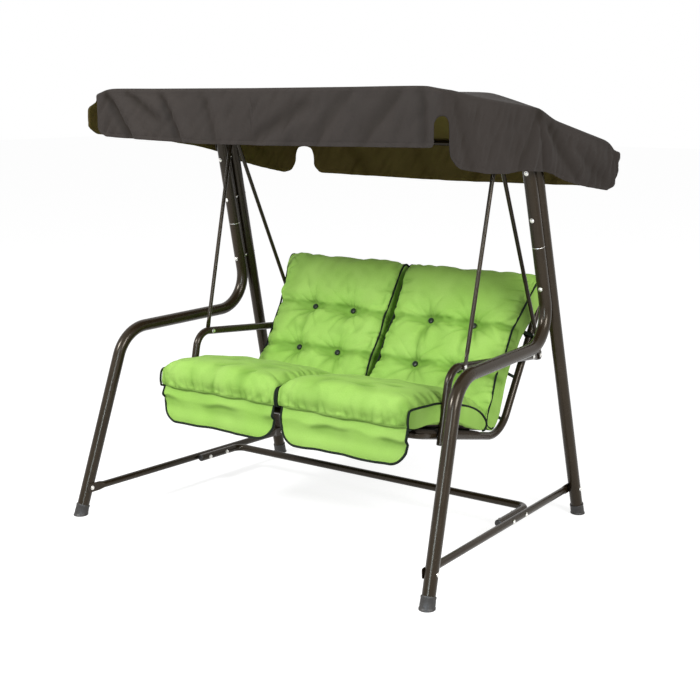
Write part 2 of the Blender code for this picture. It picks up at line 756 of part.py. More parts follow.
def pillow_mesh(origin, along, facing, span, heights, crowns, tufts, steps, dish=0.0, flare=0.0):
    """A box cushion between two piped edges: crowned faces, sides drawn in between the corners.

    heights are the two edges' distances from the tube plane, crowns how far each face swells past them,
    and tufts the (across, along) places of the sewn buttons on the face away from the frame. dish bends
    both ends away from the frame, and flare widens the far end outwards.
    """
    middle_x = (CUSHION_INNER_X + CUSHION_OUTER_X) / 2
    half_x = (CUSHION_OUTER_X - CUSHION_INNER_X) / 2
    middle_s = (span[0] + span[1]) / 2
    half_s = (span[1] - span[0]) / 2
    draw_in = 0.008
    corner = 0.05

    def outline(u, v, inset):
        # rounded corners, with the sides drawn in towards the middle of each edge
        along_edge = max(abs(u), abs(v))
        pull = draw_in * along_edge ** 4
        rounding = 1 - corner * (u * v) ** 4
        x = u * (half_x - inset - pull * (1 - v * v)) * rounding
        s = v * (half_s - inset - pull * (1 - u * u)) * rounding
        return x + flare * max(v, 0.0) * (1 + u) / 2, s

    def dome(u, v):
        return (1 - u ** 4) ** 0.6 * (1 - v ** 4) ** 0.6

    def face_height(u, v, top):
        level = heights[1] if top else heights[0]
        crown = crowns[1] if top else -crowns[0]
        height = level + crown * dome(u, v)
        if top:
            x, s = outline(u, v, 0)
            for tuft_x, tuft_s in tufts:
                squared = (x + middle_x - tuft_x) ** 2 + (s + middle_s - tuft_s) ** 2
                height -= TUFT_DEPTH * math.exp(-squared / TUFT_REACH ** 2 * 2)
        return height

    def place(u, v, height, inset):
        x, s = outline(u, v, inset)
        return origin + X_AXIS * (middle_x + x) + along * (middle_s + s) + facing * (height + dish * v * v)

    bm = bmesh.new()
    shares = [math.sin(math.pi / 2 * (2 * i / steps - 1)) for i in range(steps + 1)]
    faces = []
    for top in (True, False):
        inset = 0.004 if top else 0.016
        rows = [[bm.verts.new(place(u, v, face_height(u, v, top), inset)) for u in shares] for v in shares]
        faces.append(rows)
        for low, high in zip(rows, rows[1:]):
            for i in range(steps):
                bm.faces.new((low[i], low[i + 1], high[i + 1], high[i]))

    def border(rows):
        edge = rows[0] + [row[-1] for row in rows[1:-1]] + rows[-1][::-1]
        return edge + [row[0] for row in rows[-2:0:-1]]

    rim = [(u, shares[0]) for u in shares] + [(shares[-1], v) for v in shares[1:-1]]
    rim += [(u, shares[-1]) for u in reversed(shares)] + [(shares[0], v) for v in reversed(shares[1:-1])]
    middle_height = heights[0] * 0.45 + heights[1] * 0.55
    waist = [bm.verts.new(place(u, v, middle_height, 0.0)) for u, v in rim]
    join_rings(bm, [border(faces[0]), waist, border(faces[1])])
    return bm


def seat_cushion_mesh():
    sling_top = SLING_LIFT + SLING_THICKNESS + GAP
    crowns = (SEAT_EDGE_HEIGHTS[0] - sling_top, SEAT_CROWN)
    return pillow_mesh(SEAT_ORIGIN, SEAT_ALONG, SEAT_UP, SEAT_CUSHION_SPAN, SEAT_EDGE_HEIGHTS, crowns,
                       (), 10)


def back_cushion_mesh():
    sling_top = SLING_LIFT + SLING_THICKNESS + GAP
    crowns = (BACK_EDGE_HEIGHTS[0] - sling_top, BACK_CROWN)
    tufts = [(x, s) for x in TUFT_X for s in TUFT_ALONG]
    return pillow_mesh(BACK_ORIGIN, BACK_ALONG, BACK_FORWARD, BACK_CUSHION_SPAN, BACK_EDGE_HEIGHTS, crowns,
                       tufts, 14, BACK_DISH, BACK_FLARE)


def flap_mesh():
    """The cloth flap below a seat cushion's front seam, with round lower corners and soft folds."""
    width = FLAP_X[1] - FLAP_X[0]
    height = FLAP_Z[1] - FLAP_Z[0]

    def point_at(u, v):
        inset = 0.0
        drop = v * height
        above_corner = height - drop
        if above_corner < FLAP_CORNER_RADIUS:
            rise = FLAP_CORNER_RADIUS - above_corner
            inset = FLAP_CORNER_RADIUS - math.sqrt(max(FLAP_CORNER_RADIUS ** 2 - rise ** 2, 0.0))
            inset = min(inset, FLAP_CORNER_RADIUS * 0.8)
        x = FLAP_X[0] + inset + (width - 2 * inset) * u
        fold = 0.006 * math.sin(2 * math.pi * (2.2 * u + 0.35 * v)) * math.sin(math.pi * v * 0.8)
        return Vector((x, FLAP_Y + fold, FLAP_Z[1] - drop)), Vector((0, -1.0, 0))
    return sheet_mesh(point_at, 12, 4, FLAP_THICKNESS)


def add_seat(finishes, body):
    coat, zinc = finishes["powder_coat"], finishes["zinc"]
    sling, green = finishes["sling_fabric"], finishes["green_fabric"]

    front_bolt = Vector((ARM_X, FRONT_ROD_BOLT_Y, arm_z(FRONT_ROD_BOLT_Y)))
    rear_bolt = Vector((ARM_X, *REAR_ROD_BOLT))
    arm_bolt = Vector((ARM_X, *arm_seat_crossing()))
    back_bolt = Vector((ARM_X, *arm_back_crossing()))
    across = 0.200
    front_hole, rear_hole, arm_hole, back_hole = [
        (point, X_AXIS, BOLT_HOLE_RADIUS, across) for point in (front_bolt, rear_bolt, arm_bolt, back_bolt)
    ]

    add_pair("armrest", armrest_mesh, coat, body, [front_hole, rear_hole, arm_hole, back_hole])
    add_piece("seat_frame", seat_frame_mesh(), coat, body, [arm_hole] + mirror_holes([arm_hole]))
    add_piece("back_frame", back_frame_mesh(), coat, body, [back_hole] + mirror_holes([back_hole]))

    tongue_lift = PLATE_THICKNESS / 2 + TONGUE_THICKNESS / 2 + GAP
    front_top = Vector((HANGER_X + tongue_lift, SWING_Y, SWING_Z))
    rear_top = Vector((HANGER_X - tongue_lift, SWING_Y, SWING_Z))
    front_bottom = front_bolt + X_AXIS * (SEAT_TUBE_RADIUS + TONGUE_THICKNESS / 2 + GAP)
    rear_bottom = rear_bolt + X_AXIS * (TONGUE_THICKNESS + GAP)
    rods = {"front": (front_top, front_bottom, front_hole), "rear": (rear_top, rear_bottom, rear_hole)}
    for place, (top, bottom, hole) in rods.items():
        eye = (top, X_AXIS, SWING_HOLE_RADIUS, 0.030)
        add_pair("hanger_rod_" + place, lambda: rod_mesh(top, bottom), coat, body, [eye, hole])

    face = TONGUE_THICKNESS / 2 + GAP
    tube_face = SEAT_TUBE_RADIUS + GAP
    bolts = {
        "rod_bolt_front": (front_bottom + X_AXIS * face, ARM_X - tube_face),
        "rod_bolt_rear": (rear_bottom + X_AXIS * face, ARM_X - face),
        "arm_bolt": (arm_bolt + X_AXIS * tube_face, SEAT_TUBE_X - tube_face),
        "back_bolt": (back_bolt + X_AXIS * tube_face, SEAT_TUBE_X - tube_face),
    }
    for name, (start, nut_x) in bolts.items():
        add_pair(name, lambda: bolt_mesh(start, -X_AXIS, start.x - nut_x), zinc, body)

    seat_cloth = sling_mesh(SEAT_ORIGIN, SEAT_ALONG, SEAT_UP, SEAT_SLING_SPAN)
    add_piece("seat_sling", seat_cloth, sling, body)
    back_cloth = sling_mesh(BACK_ORIGIN, BACK_ALONG, BACK_FORWARD, BACK_SLING_SPAN)
    add_piece("back_sling", back_cloth, sling, body)
    add_pair("seat_cushion", seat_cushion_mesh, green, body)
    add_pair("back_cushion", back_cushion_mesh, green, body)
    add_pair("front_flap", flap_mesh, green, body)


# Canopy

def canopy_tube_mesh(side_points, bends, tongue_x):
    """A hoop of tube: out from one stud through the given (y, z) corners, across, and back to the other."""
    pivot = Vector((tongue_x, CANOPY_Y, CANOPY_Z))
    right = [pivot] + [Vector((tongue_x, y, z)) for y, z in side_points]
    right[-1].x = CANOPY_TUBE_X
    right[0] = pivot + (pivot - right[1]).normalized() * 0.014
    mirror = Matrix.Diagonal((-1.0, 1.0, 1.0))
    corners = right + [mirror @ p for p in reversed(right)]
    tongue = ("tongue", CANOPY_TONGUE_LENGTH, 0.0135)
    both = bends + bends[::-1]
    return tube_mesh(corners, both, CANOPY_TUBE_RADIUS, X_AXIS, CANOPY_SIDES, start=tongue, end=tongue)


def along_profile(profile, y):
    """The height at a depth, on straight lines between a profile's (y, z) points."""
    for (y0, z0), (y1, z1) in zip(profile, profile[1:]):
        if y <= y1:
            return z0 + (z1 - z0) * (y - y0) / (y1 - y0)
    return profile[-1][1]


def cover_height(x, y):
    """The cloth roof's outer height: a low ridge over the hoop, falling to the tubes at the two sides."""
    front = (COVER_FRONT_Y, COVER_FRONT_Z)
    rear = (COVER_REAR_Y, COVER_REAR_Z)
    middle = along_profile([front, (COVER_RIDGE_Y, COVER_RIDGE_Z), rear], y)
    side = along_profile([front, (COVER_RIDGE_Y, COVER_SIDE_RIDGE_Z), COVER_SIDE_DIP, rear], y)
    past = max(abs(x) - COVER_FLAT_HALF_WIDTH, 0.0) / (COVER_HALF_WIDTH - COVER_FLAT_HALF_WIDTH)
    return middle + (side - middle) * past


def spaced(low, high, count, margin, kept):
    """Grid lines from low to high, the outer cells as narrow as a slit, with a line on each kept value."""
    inner = [low + margin + (high - low - 2 * margin) * i / (count - 2) for i in range(count - 1)]
    for value in kept:
        nearest = min(range(len(inner)), key=lambda i: abs(inner[i] - value))
        inner[nearest] = value
    return [low] + inner + [high]


def valance_fold(side, share):
    """How far the valance's main folds stand out, in metres, at a share along its side."""
    if side == "front":
        return 0.010 * math.sin(2 * math.pi * 3.5 * share + 0.6)
    if side == "rear":
        return 0.007 * math.sin(2 * math.pi * 3.0 * share + 1.1)
    # folds that spread from the end of the ridge
    return 0.012 * math.sin(2 * math.pi * 3.2 * share + 0.4) * math.exp(-((share - 0.5) / 0.38) ** 2)


def canopy_cover_mesh():
    """The roof and its four valances in one sheet, slit at the corners below the eaves."""
    flat_ends = (-COVER_FLAT_HALF_WIDTH, COVER_FLAT_HALF_WIDTH)
    xs = spaced(-COVER_HALF_WIDTH, COVER_HALF_WIDTH, 15, VALANCE_SLIT_WIDTH, flat_ends)
    ys = spaced(COVER_FRONT_Y, COVER_REAR_Y, 13, VALANCE_SLIT_WIDTH, (COVER_RIDGE_Y, COVER_SIDE_DIP[0]))
    rows_down = (0.10, VALANCE_SLIT_START, 0.70, 1.0)
    eave_out = 0.0025
    bm = bmesh.new()
    roof = [[bm.verts.new((x, y, cover_height(x, y))) for x in xs] for y in ys]
    for low, high in zip(roof, roof[1:]):
        for i in range(len(xs) - 1):
            bm.faces.new((low[i], low[i + 1], high[i + 1], high[i]))

    border = [("front", i, 0) for i in range(len(xs) - 1)]
    border += [("side", len(xs) - 1, j) for j in range(len(ys) - 1)]
    border += [("rear", i, len(ys) - 1) for i in range(len(xs) - 1, 0, -1)]
    border += [("side", 0, j) for j in range(len(ys) - 1, 0, -1)]

    columns = []
    for side, i, j in border:
        x, y = xs[i], ys[j]
        outward = Vector((0, 0, 0))
        outward.x = 1.0 if i == len(xs) - 1 else -1.0 if i == 0 else 0.0
        outward.y = 1.0 if j == len(ys) - 1 else -1.0 if j == 0 else 0.0
        share = i / (len(xs) - 1) if side in ("front", "rear") else j / (len(ys) - 1)
        top = roof[j][i]
        column = [top]
        full_drop = top.co.z - along_profile(SIDE_HEM, y) if side == "side" else VALANCE_DROP[side]
        for down in rows_down:
            swell = eave_out * min(down / 0.10, 1.0)
            if side == "side":
                swell += SIDE_FLARE * down
            fold = valance_fold(side, share) * down if 0.05 < share < 0.95 else 0.0
            lower = Vector((0, 0, full_drop * down))
            column.append(bm.verts.new(top.co + outward * (swell + min(fold, 0.0)) - lower))
        columns.append((side, column))

    corners = {0, len(xs) - 1, len(xs) + len(ys) - 2, 2 * len(xs) + len(ys) - 3}
    count = len(columns)
    for k in range(count):
        here, there = columns[k][1], columns[(k + 1) % count][1]
        by_corner = k in corners or (k + 1) % count in corners
        for row in range(len(rows_down)):
            if by_corner and row >= 2:
                continue
            bm.faces.new((here[row], there[row], there[row + 1], here[row + 1]))
    loose = [v for v in bm.verts if not v.link_faces]
    bmesh.ops.delete(bm, geom=loose, context="VERTS")
    return bm


def add_canopy(finishes, body):
    coat, cloth = finishes["powder_coat"], finishes["canopy_fabric"]
    plate_x = bracket_inner_x() + PLATE_THICKNESS
    front_x = plate_x + GAP + TONGUE_THICKNESS / 2
    rear_x = front_x + TONGUE_THICKNESS + GAP
    rear_bends = [CANOPY_SIDE_BEND_RADIUS, CANOPY_CORNER_RADIUS]
    for name, side_points, bends, tongue_x in (
        ("canopy_front_tube", [CANOPY_FRONT], [CANOPY_CORNER_RADIUS], front_x),
        ("canopy_rear_tube", [CANOPY_REAR_BEND, CANOPY_REAR], rear_bends, rear_x),
    ):
        eye = (Vector((tongue_x, CANOPY_Y, CANOPY_Z)), X_AXIS, SWING_HOLE_RADIUS, 0.030)
        tube = canopy_tube_mesh(side_points, bends, tongue_x)
        add_piece(name, tube, coat, body, [eye] + mirror_holes([eye]))
    cover = add_piece("canopy_cover", canopy_cover_mesh(), cloth, body)
    wall = cover.modifiers.new("Cloth", "SOLIDIFY")
    wall.thickness = COVER_THICKNESS
    wall.offset = -1.0
    wall.use_even_offset = True


def main():
    clear_scene()
    finishes = make_finishes()
    stand = make_body("stand_origin", (0, 0, 0))
    seat = make_body("seat_swing_axis", (0, SWING_Y, SWING_Z))
    canopy = make_body("canopy_tilt_axis", (0, CANOPY_Y, CANOPY_Z))
    bpy.context.view_layer.update()
    add_stand(finishes, stand)
    add_seat(finishes, seat)
    add_canopy(finishes, canopy)


main()
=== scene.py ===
"""Looks of a two-seat garden swing bench: finishes, fine metalwork, padded cushions and cloth canopy.

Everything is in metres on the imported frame: X across the bench, Y from front to back, Z up.
"""
import math

import bmesh
import bpy
import numpy as np
from mathutils import Matrix, Vector


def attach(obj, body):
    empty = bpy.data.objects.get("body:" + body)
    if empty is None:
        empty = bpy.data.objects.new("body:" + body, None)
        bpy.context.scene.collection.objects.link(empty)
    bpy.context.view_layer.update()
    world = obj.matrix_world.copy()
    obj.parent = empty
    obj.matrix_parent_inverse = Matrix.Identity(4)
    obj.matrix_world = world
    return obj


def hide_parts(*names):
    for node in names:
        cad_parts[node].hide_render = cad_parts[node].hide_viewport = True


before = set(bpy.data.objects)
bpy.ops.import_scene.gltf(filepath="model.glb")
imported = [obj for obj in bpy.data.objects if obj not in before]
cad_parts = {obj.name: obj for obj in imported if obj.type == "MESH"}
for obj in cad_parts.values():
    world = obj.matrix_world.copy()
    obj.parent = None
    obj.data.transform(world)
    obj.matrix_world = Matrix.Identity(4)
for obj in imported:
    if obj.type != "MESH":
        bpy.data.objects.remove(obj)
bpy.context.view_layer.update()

SIDES = {"right": 1.0, "left": -1.0}
X_AXIS = Vector((1.0, 0.0, 0.0))
Z_AXIS = Vector((0.0, 0.0, 1.0))
FAR_AWAY = 9.0

# Camera, solved from the photograph's perspective
CAMERA_PLACE = (3.065, -4.1745, 1.703)
CAMERA_TURN = math.radians(36.26)
CAMERA_DOWN = math.radians(11.36)
FOCAL_PIXELS = 1326.1
IMAGE_PIXELS = 700
SENSOR_WIDTH = 36.0

# Studio: each light's place, target, size and power
LIGHTS = {
    "key": ((-1.7, -4.0, 3.6), (0.0, 0.0, 0.8), (1.2, 1.2), 224.0),
    "fill": ((4.4, -1.6, 2.8), (0.0, 0.0, 0.8), (2.0, 2.0), 172.0),
    "strip": ((1.7, -4.4, 1.5), (0.8, -0.5, 1.0), (0.60, 3.0), 120.0),
}
STRIP_COLOUR = (0.70, 0.86, 1.0)
WORLD_STRENGTH = 0.36
BACKDROP_STRENGTH = 1.0
FLOOR_REACH = 30.0

# Stock sizes
LEG_RADIUS = 0.024
RAIL_RADIUS = 0.014
CROSSBAR_RADIUS = 0.015
SEAT_TUBE_RADIUS = 0.015
CANOPY_TUBE_RADIUS = 0.010
ROD_RADIUS = 0.008
TONGUE_THICKNESS = 0.004
TONGUE_TRANSITION = 0.032
TONGUE_STEPS = 8
TONGUE_SQUARENESS = 0.3
END_CHAMFER = 0.0008
PLATE_THICKNESS = 0.004
GAP = 0.0004
TUBE_SIDES = 32
BEND_STEPS = 14

# Side frames: each lies in a plane that leans inwards as it rises and toes in towards the back
FRONT_FOOT = (0.830, -0.698)
REAR_FOOT_Y = 0.505
SIDE_LEAN = 0.043
SIDE_TOE_IN = 0.0463
FRONT_KNEE = (-0.460, 0.730)
REAR_KNEE_Z = 0.742
FRONT_KNEE_RADIUS = 0.150
REAR_KNEE_RADIUS = 0.135
POST_SLOPE = -0.247
POST_SPACING = 0.060
POST_JOINT_Z = 1.112
REAR_LEG_TOP_Z = 1.455
LEG_END_Z = 0.016
BEAM_Z = 1.642
BEAM_BEND_RADIUS = 0.175
CAP_HEIGHT = 0.045
CAP_RIM_HEIGHT = 0.007
CAP_RIM_RADIUS = 0.029
CAP_SLEEVE_RADIUS = 0.0264
CAP_RIBS = 40
CAP_RIB_HEIGHT = 0.0007
CAP_RIB_POINTS = 4
RAIL_Z = 0.112
CROSSBAR_Y = 0.160
CROSSBAR_END_Y = -0.078
CROSSBAR_BEND_RADIUS = 0.040

# Seat, hung from the hanger bolts
SWING_Y = 0.042
SWING_Z = 1.509
HANGER_X = 0.631
ARM_X = 0.6085
SEAT_TUBE_X = 0.578
SEAT_POINT = (-0.3405, 0.477)
SEAT_SLOPE = -0.222
SEAT_FRONT_Y = -0.400
SEAT_REAR_Y = 0.106
SEAT_BEND_RADIUS = 0.060
BACK_POINT = (0.355, 0.612)
BACK_SLOPE = 0.605
BACK_TOP_Z = 0.905
BACK_BOTTOM_BEND_RADIUS = 0.130
BACK_TOP_BEND_RADIUS = 0.070
ARM_FOOT = (-0.278, 0.432)
ARM_CORNER = (-0.220, 0.704)
ARM_BEND_RADIUS = 0.070
FRONT_ROD_BOLT_Y = -0.145
REAR_ROD_BOLT = (0.450, 0.642)

# Canopy, tilting about its two studs
CANOPY_Y = 0.065
CANOPY_Z = 1.597
BRACKET_FOOT_Z = 1.425
CANOPY_TUBE_X = 0.772
CANOPY_FRONT = (-0.572, 1.668)
CANOPY_REAR = (0.706, 1.452)
CANOPY_REAR_BEND = (0.130, 1.563)
CANOPY_CORNER_RADIUS = 0.060
CANOPY_SIDE_BEND_RADIUS = 0.050

# Pressed flat ends as (length, half width), and how far each tube runs past its bolt or stud
RAIL_TONGUE = (0.050, 0.019)
ARM_TONGUE = (0.036, 0.019)
ROD_TONGUE = (0.042, 0.012)
CANOPY_TONGUE = (0.044, 0.0135)
RAIL_REACH = 0.018
ARM_REACH = 0.016
ROD_REACH = 0.014
CANOPY_REACH = 0.014

# Fasteners
HEAD_RADIUS = 0.0075
HEAD_HEIGHT = 0.005
SHANK_RADIUS = 0.004
SPACER_RADIUS = 0.009

SIDE_NORMAL = Vector((1.0, SIDE_TOE_IN, SIDE_LEAN)).normalized()
POST_DIRECTION = Vector((-SIDE_LEAN - SIDE_TOE_IN * POST_SLOPE, POST_SLOPE, 1.0)).normalized()
POST_BACKWARD = POST_DIRECTION.cross(SIDE_NORMAL).normalized()
if POST_BACKWARD.y < 0:
    POST_BACKWARD = -POST_BACKWARD
POST_SPACING_Y = POST_SPACING * math.sqrt(1 + POST_SLOPE ** 2)
SEAT_ORIGIN = Vector((0, *SEAT_POINT))
SEAT_ALONG = Vector((0, 1.0, SEAT_SLOPE)).normalized()
SEAT_UP = Vector((0, -SEAT_SLOPE, 1.0)).normalized()
BACK_ORIGIN = Vector((0, *BACK_POINT))
BACK_ALONG = Vector((0, BACK_SLOPE, 1.0)).normalized()
BACK_FORWARD = Vector((0, -1.0, BACK_SLOPE)).normalized()


# Shader maths

class Value:
    """A number that changes over a surface. Arithmetic on it adds the Math nodes that work it out."""

    def __init__(self, finish, socket):
        self.finish = finish
        self.socket = socket

    def maths(self, operation, first, second):
        settings = {"operation": operation}
        return self.finish.node("ShaderNodeMath", settings, {0: first, 1: second}, "Value")

    def __add__(self, other):
        return self.maths("ADD", self, other)

    def __mul__(self, other):
        return self.maths("MULTIPLY", self, other)

    __radd__ = __add__
    __rmul__ = __mul__

    def sine(self):
        return self.maths("SINE", self, 0.0)

    def largest(self, other):
        return self.maths("MAXIMUM", self, other)


class Finish:
    """One material: its Principled shader and the nodes that feed it."""

    def __init__(self, name):
        self.material = bpy.data.materials.new(name)
        self.material.use_nodes = True
        self.tree = self.material.node_tree
        self.shader = self.tree.nodes["Principled BSDF"]

    def node(self, kind, settings, inputs, output):
        made = self.tree.nodes.new(kind)
        for key, value in settings.items():
            setattr(made, key, value)
        for key, value in inputs.items():
            self.feed(made.inputs[key], value)
        return Value(self, made.outputs[output])

    def feed(self, socket, value):
        if isinstance(value, Value):
            self.tree.links.new(value.socket, socket)
        elif hasattr(value, "__len__") and len(value) == 3 and socket.type == "RGBA":
            socket.default_value = (*value, 1.0)
        else:
            socket.default_value = value

    def set(self, **inputs):
        for key, value in inputs.items():
            self.feed(self.shader.inputs[key.replace("_", " ")], value)

    def object_place(self):
        return self.node("ShaderNodeTexCoord", {}, {}, "Object")

    def cloth_place(self):
        return self.node("ShaderNodeUVMap", {"uv_map": "cloth"}, {}, "UV")

    def axis(self, place, name):
        return self.node("ShaderNodeSeparateXYZ", {}, {0: place}, name)

    def attribute(self, name):
        return self.node("ShaderNodeAttribute", {"attribute_name": name}, {}, "Fac")

    def noise(self, place, scale, detail=2.0, roughness=0.5):
        inputs = {"Vector": place, "Scale": scale, "Detail": detail, "Roughness": roughness}
        return self.node("ShaderNodeTexNoise", {}, inputs, 0)

    def remap(self, value, low, high, new_low, new_high):
        """A value's range from low to high, stretched to another range and held at its ends."""
        inputs = {"Value": value, 1: low, 2: high, 3: new_low, 4: new_high}
        return self.node("ShaderNodeMapRange", {"clamp": True}, inputs, 0)

    def blend(self, share, first, second):
        inputs = {0: share, 6: first, 7: second}
        return self.node("ShaderNodeMix", {"data_type": "RGBA"}, inputs, 2)

    def bump(self, height, distance, strength=1.0):
        inputs = {"Height": height, "Distance": distance, "Strength": strength}
        self.set(Normal=self.node("ShaderNodeBump", {}, inputs, "Normal"))

    def weave(self, place, pitch):
        """Plain weave: the height of threads that pass over and under each other."""
        across = self.axis(place, "X") * (2 * math.pi / pitch)
        along = self.axis(place, "Y") * (2 * math.pi / pitch)
        return across.sine() * along.sine() * 0.5 + 0.5


def powder_coat_finish():
    """Satin dark brown powder coat with its fine orange peel."""
    finish = Finish("powder_coat")
    place = finish.object_place()
    cloud = finish.noise(place, 9.0, 3.0)
    peel = finish.noise(place, 620.0, 1.0)
    dust = finish.remap(finish.noise(place, 38.0, 4.0, 0.65), 0.56, 0.78, 0.0, 0.35)
    coat = finish.blend(cloud, (0.0140, 0.0090, 0.0045), (0.0240, 0.0160, 0.0085))
    finish.set(Base_Color=finish.blend(dust, coat, (0.036, 0.029, 0.022)))
    finish.set(Roughness=finish.remap(cloud, 0.3, 0.7, 0.20, 0.29) + dust * 0.3)
    finish.set(Specular_IOR_Level=0.28, Specular_Tint=(1.0, 0.90, 0.75))
    finish.set(Coat_Weight=0.06, Coat_Roughness=0.22)
    finish.bump(peel, 0.00025, 0.35)
    return finish.material


def cap_plastic_finish():
    """Moulded dark grey plastic, scuffed paler in places."""
    finish = Finish("cap_plastic")
    place = finish.object_place()
    scuff = finish.remap(finish.noise(place, 90.0, 5.0, 0.7), 0.5, 0.75, 0.0, 1.0)
    finish.set(Base_Color=finish.blend(scuff, (0.020, 0.018, 0.016), (0.048, 0.043, 0.038)))
    finish.set(Roughness=finish.remap(scuff, 0.0, 1.0, 0.48, 0.72))
    finish.bump(finish.noise(place, 900.0, 2.0), 0.0002, 0.5)
    return finish.material


def clouded_finish(name, cloud, dark, light, roughness, grain, depth, strength, **constants):
    """Cloudy colour and gloss over a fine grain. cloud and grain hold a noise's scale and detail."""
    finish = Finish(name)
    place = finish.object_place()
    tone = finish.noise(place, *cloud)
    finish.set(Base_Color=finish.blend(tone, dark, light))
    finish.set(Roughness=finish.remap(tone, 0.3, 0.7, *roughness), **constants)
    finish.bump(finish.noise(place, *grain), depth, strength)
    return finish.material


def cloth_finish(name, dark, light, pitch, weave_depth, roughness, shade=(0.5, 0.5, 0.5),
                 sheen=0.2, gloss=0.2):
    """Woven cloth on the piece's own UV map, with painted shade from the fold attribute darkening its hollows
    and creases.
    """
    finish = Finish(name)
    flat = finish.cloth_place()
    place = finish.object_place()
    thread = finish.weave(flat, pitch)
    slub = finish.noise(flat, 180.0, 1.0, 0.6)
    cloud = finish.noise(place, 5.0, 2.0, 0.55)
    tone = finish.remap(cloud * 0.6 + slub * 0.3 + thread * 0.1, 0.3, 0.7, 0.0, 1.0)
    colour = finish.blend(tone, dark, light)
    # Painted shade: where the fold attribute is high, the colour blends to the dark colour times the shade
    # factor
    painted_shade = finish.attribute("fold")
    deep = tuple(d * s for d, s in zip(dark, shade))
    finish.set(Base_Color=finish.blend(painted_shade, colour, deep))
    finish.set(Roughness=finish.remap(tone, 0.0, 1.0, roughness - 0.04, roughness + 0.05))
    tint = tuple(min(1.0, 1.5 * c + 0.1) for c in light)
    finish.set(Sheen_Weight=sheen, Sheen_Roughness=0.45, Sheen_Tint=tint, Specular_IOR_Level=gloss)
    finish.bump(thread * weave_depth + slub * (weave_depth * 0.8), 1.0, 0.8)
    return finish.material


COAT = powder_coat_finish()
# Bright zinc plate, a little cloudy
ZINC = clouded_finish("zinc", (260.0, 3.0), (0.62, 0.60, 0.56), (0.83, 0.82, 0.79), (0.22, 0.42),
                      (1500.0, 1.0), 0.0001, 0.4, Metallic=1.0)
CAP = cap_plastic_finish()
# Black polythene plugs in the open tube ends
PLUG = clouded_finish("end_plug", (60.0, 3.0), (0.007, 0.007, 0.007), (0.016, 0.015, 0.014), (0.40, 0.55),
                      (1100.0, 1.0), 0.00015, 0.4)
GREEN = cloth_finish("green_cloth", (0.262, 0.492, 0.076), (0.344, 0.568, 0.126), 0.0011, 0.00022, 0.72,
                     (0.36, 0.45, 0.18), 0.15)
# Dark green binding tape sewn round the edges
PIPING = clouded_finish("piping", (70.0, 3.0), (0.002, 0.006, 0.002), (0.005, 0.013, 0.004), (0.55, 0.72),
                        (1300.0, 2.0), 0.0003, 0.6, Specular_IOR_Level=0.15)
# Glossy blackish-green moulded buttons
BUTTON = clouded_finish("button", (120.0, 2.0), (0.004, 0.009, 0.004), (0.009, 0.019, 0.008), (0.30, 0.44),
                        (700.0, 1.0), 0.0001, 0.3, Specular_IOR_Level=0.22)
CHARCOAL = cloth_finish("charcoal_cloth", (0.0207, 0.0160, 0.0133), (0.0320, 0.0256, 0.0218), 0.0010,
                        0.00018, 0.74, (0.42, 0.32, 0.14), 0.04)
# The cover's underside: brown cloth painted several times paler than the outside, painted light for light
# shining through the cloth
CHARCOAL_INSIDE_PAINTED_LIGHT = cloth_finish("charcoal_cloth_inside_painted_light", (0.150, 0.112, 0.038), (0.200, 0.153, 0.058), 0.0010,
                               0.00018, 0.90, (0.5, 0.45, 0.35), 0.0, 0.0)
SLING = cloth_finish("sling_cloth", (0.020, 0.014, 0.009), (0.036, 0.026, 0.017), 0.0022, 0.0005, 0.82)


# Meshes

def make_piece(name, vertices, faces, *finishes):
    mesh = bpy.data.meshes.new(name)
    mesh.from_pydata([tuple(v) for v in vertices], [], faces)
    return link_piece(name, mesh, *finishes)


def link_piece(name, mesh, *finishes):
    piece = bpy.data.objects.new(name, mesh)
    bpy.context.scene.collection.objects.link(piece)
    for finish in finishes:
        mesh.materials.append(finish)
    return piece


def face_out(mesh, merge=True):
    """Turns a mesh's faces outwards. Doubled points are merged, or else only loose points are dropped."""
    bm = bmesh.new()
    bm.from_mesh(mesh)
    if merge:
        bmesh.ops.remove_doubles(bm, verts=bm.verts, dist=1e-6)
    else:
        loose = [v for v in bm.verts if not v.link_faces]
        bmesh.ops.delete(bm, geom=loose, context="VERTS")
    bmesh.ops.recalc_face_normals(bm, faces=bm.faces)
    bm.to_mesh(mesh)
    bm.free()


def smooth(piece, angle=35):
    piece.data.shade_smooth()
    piece.data.set_sharp_from_angle(angle=math.radians(angle))


def mount(piece, body, slot, *nodes):
    """The piece moves with its body and stands for the frame's plain solids. The slot is not used."""
    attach(piece, body)
    if nodes:
        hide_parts(*nodes)
    return piece


def mirrored(points, sign):
    return [Vector((p.x * sign, p.y, p.z)) for p in points]


def ring_faces(rings, size):
    faces = []
    for r in range(rings - 1):
        for i in range(size):
            j = (i + 1) % size
            faces.append((r * size + i, r * size + j, (r + 1) * size + j, (r + 1) * size + i))
    return faces


def grid_faces(columns, rows):
    faces = []
    for r in range(rows - 1):
        for c in range(columns - 1):
            corner = r * columns + c
            faces.append((corner, corner + 1, corner + columns + 1, corner + columns))
    return faces


def ease(value):
    """A smooth step from 0 to 1."""
    value = np.clip(value, 0, 1)
    return value * value * (3 - 2 * value)


def along_profile(points, place):
    return np.interp(place, [p[0] for p in points], [p[1] for p in points])


def points_of(mesh):
    place = np.zeros(len(mesh.vertices) * 3)
    mesh.vertices.foreach_get("co", place)
    return place.reshape(-1, 3)


def push_out(mesh, amount):
    """Moves every point along its own normal."""
    normal = np.zeros(len(mesh.vertices) * 3)
    mesh.vertices.foreach_get("normal", normal)
    moved = points_of(mesh) + normal.reshape(-1, 3) * amount[:, None]
    mesh.vertices.foreach_set("co", moved.ravel())
    mesh.update()


def subdivide(piece, levels=1):
    step = piece.modifiers.new("Fine", "SUBSURF")
    step.levels = levels
    step.render_levels = levels
    step.uv_smooth = "PRESERVE_BOUNDARIES"
    return step


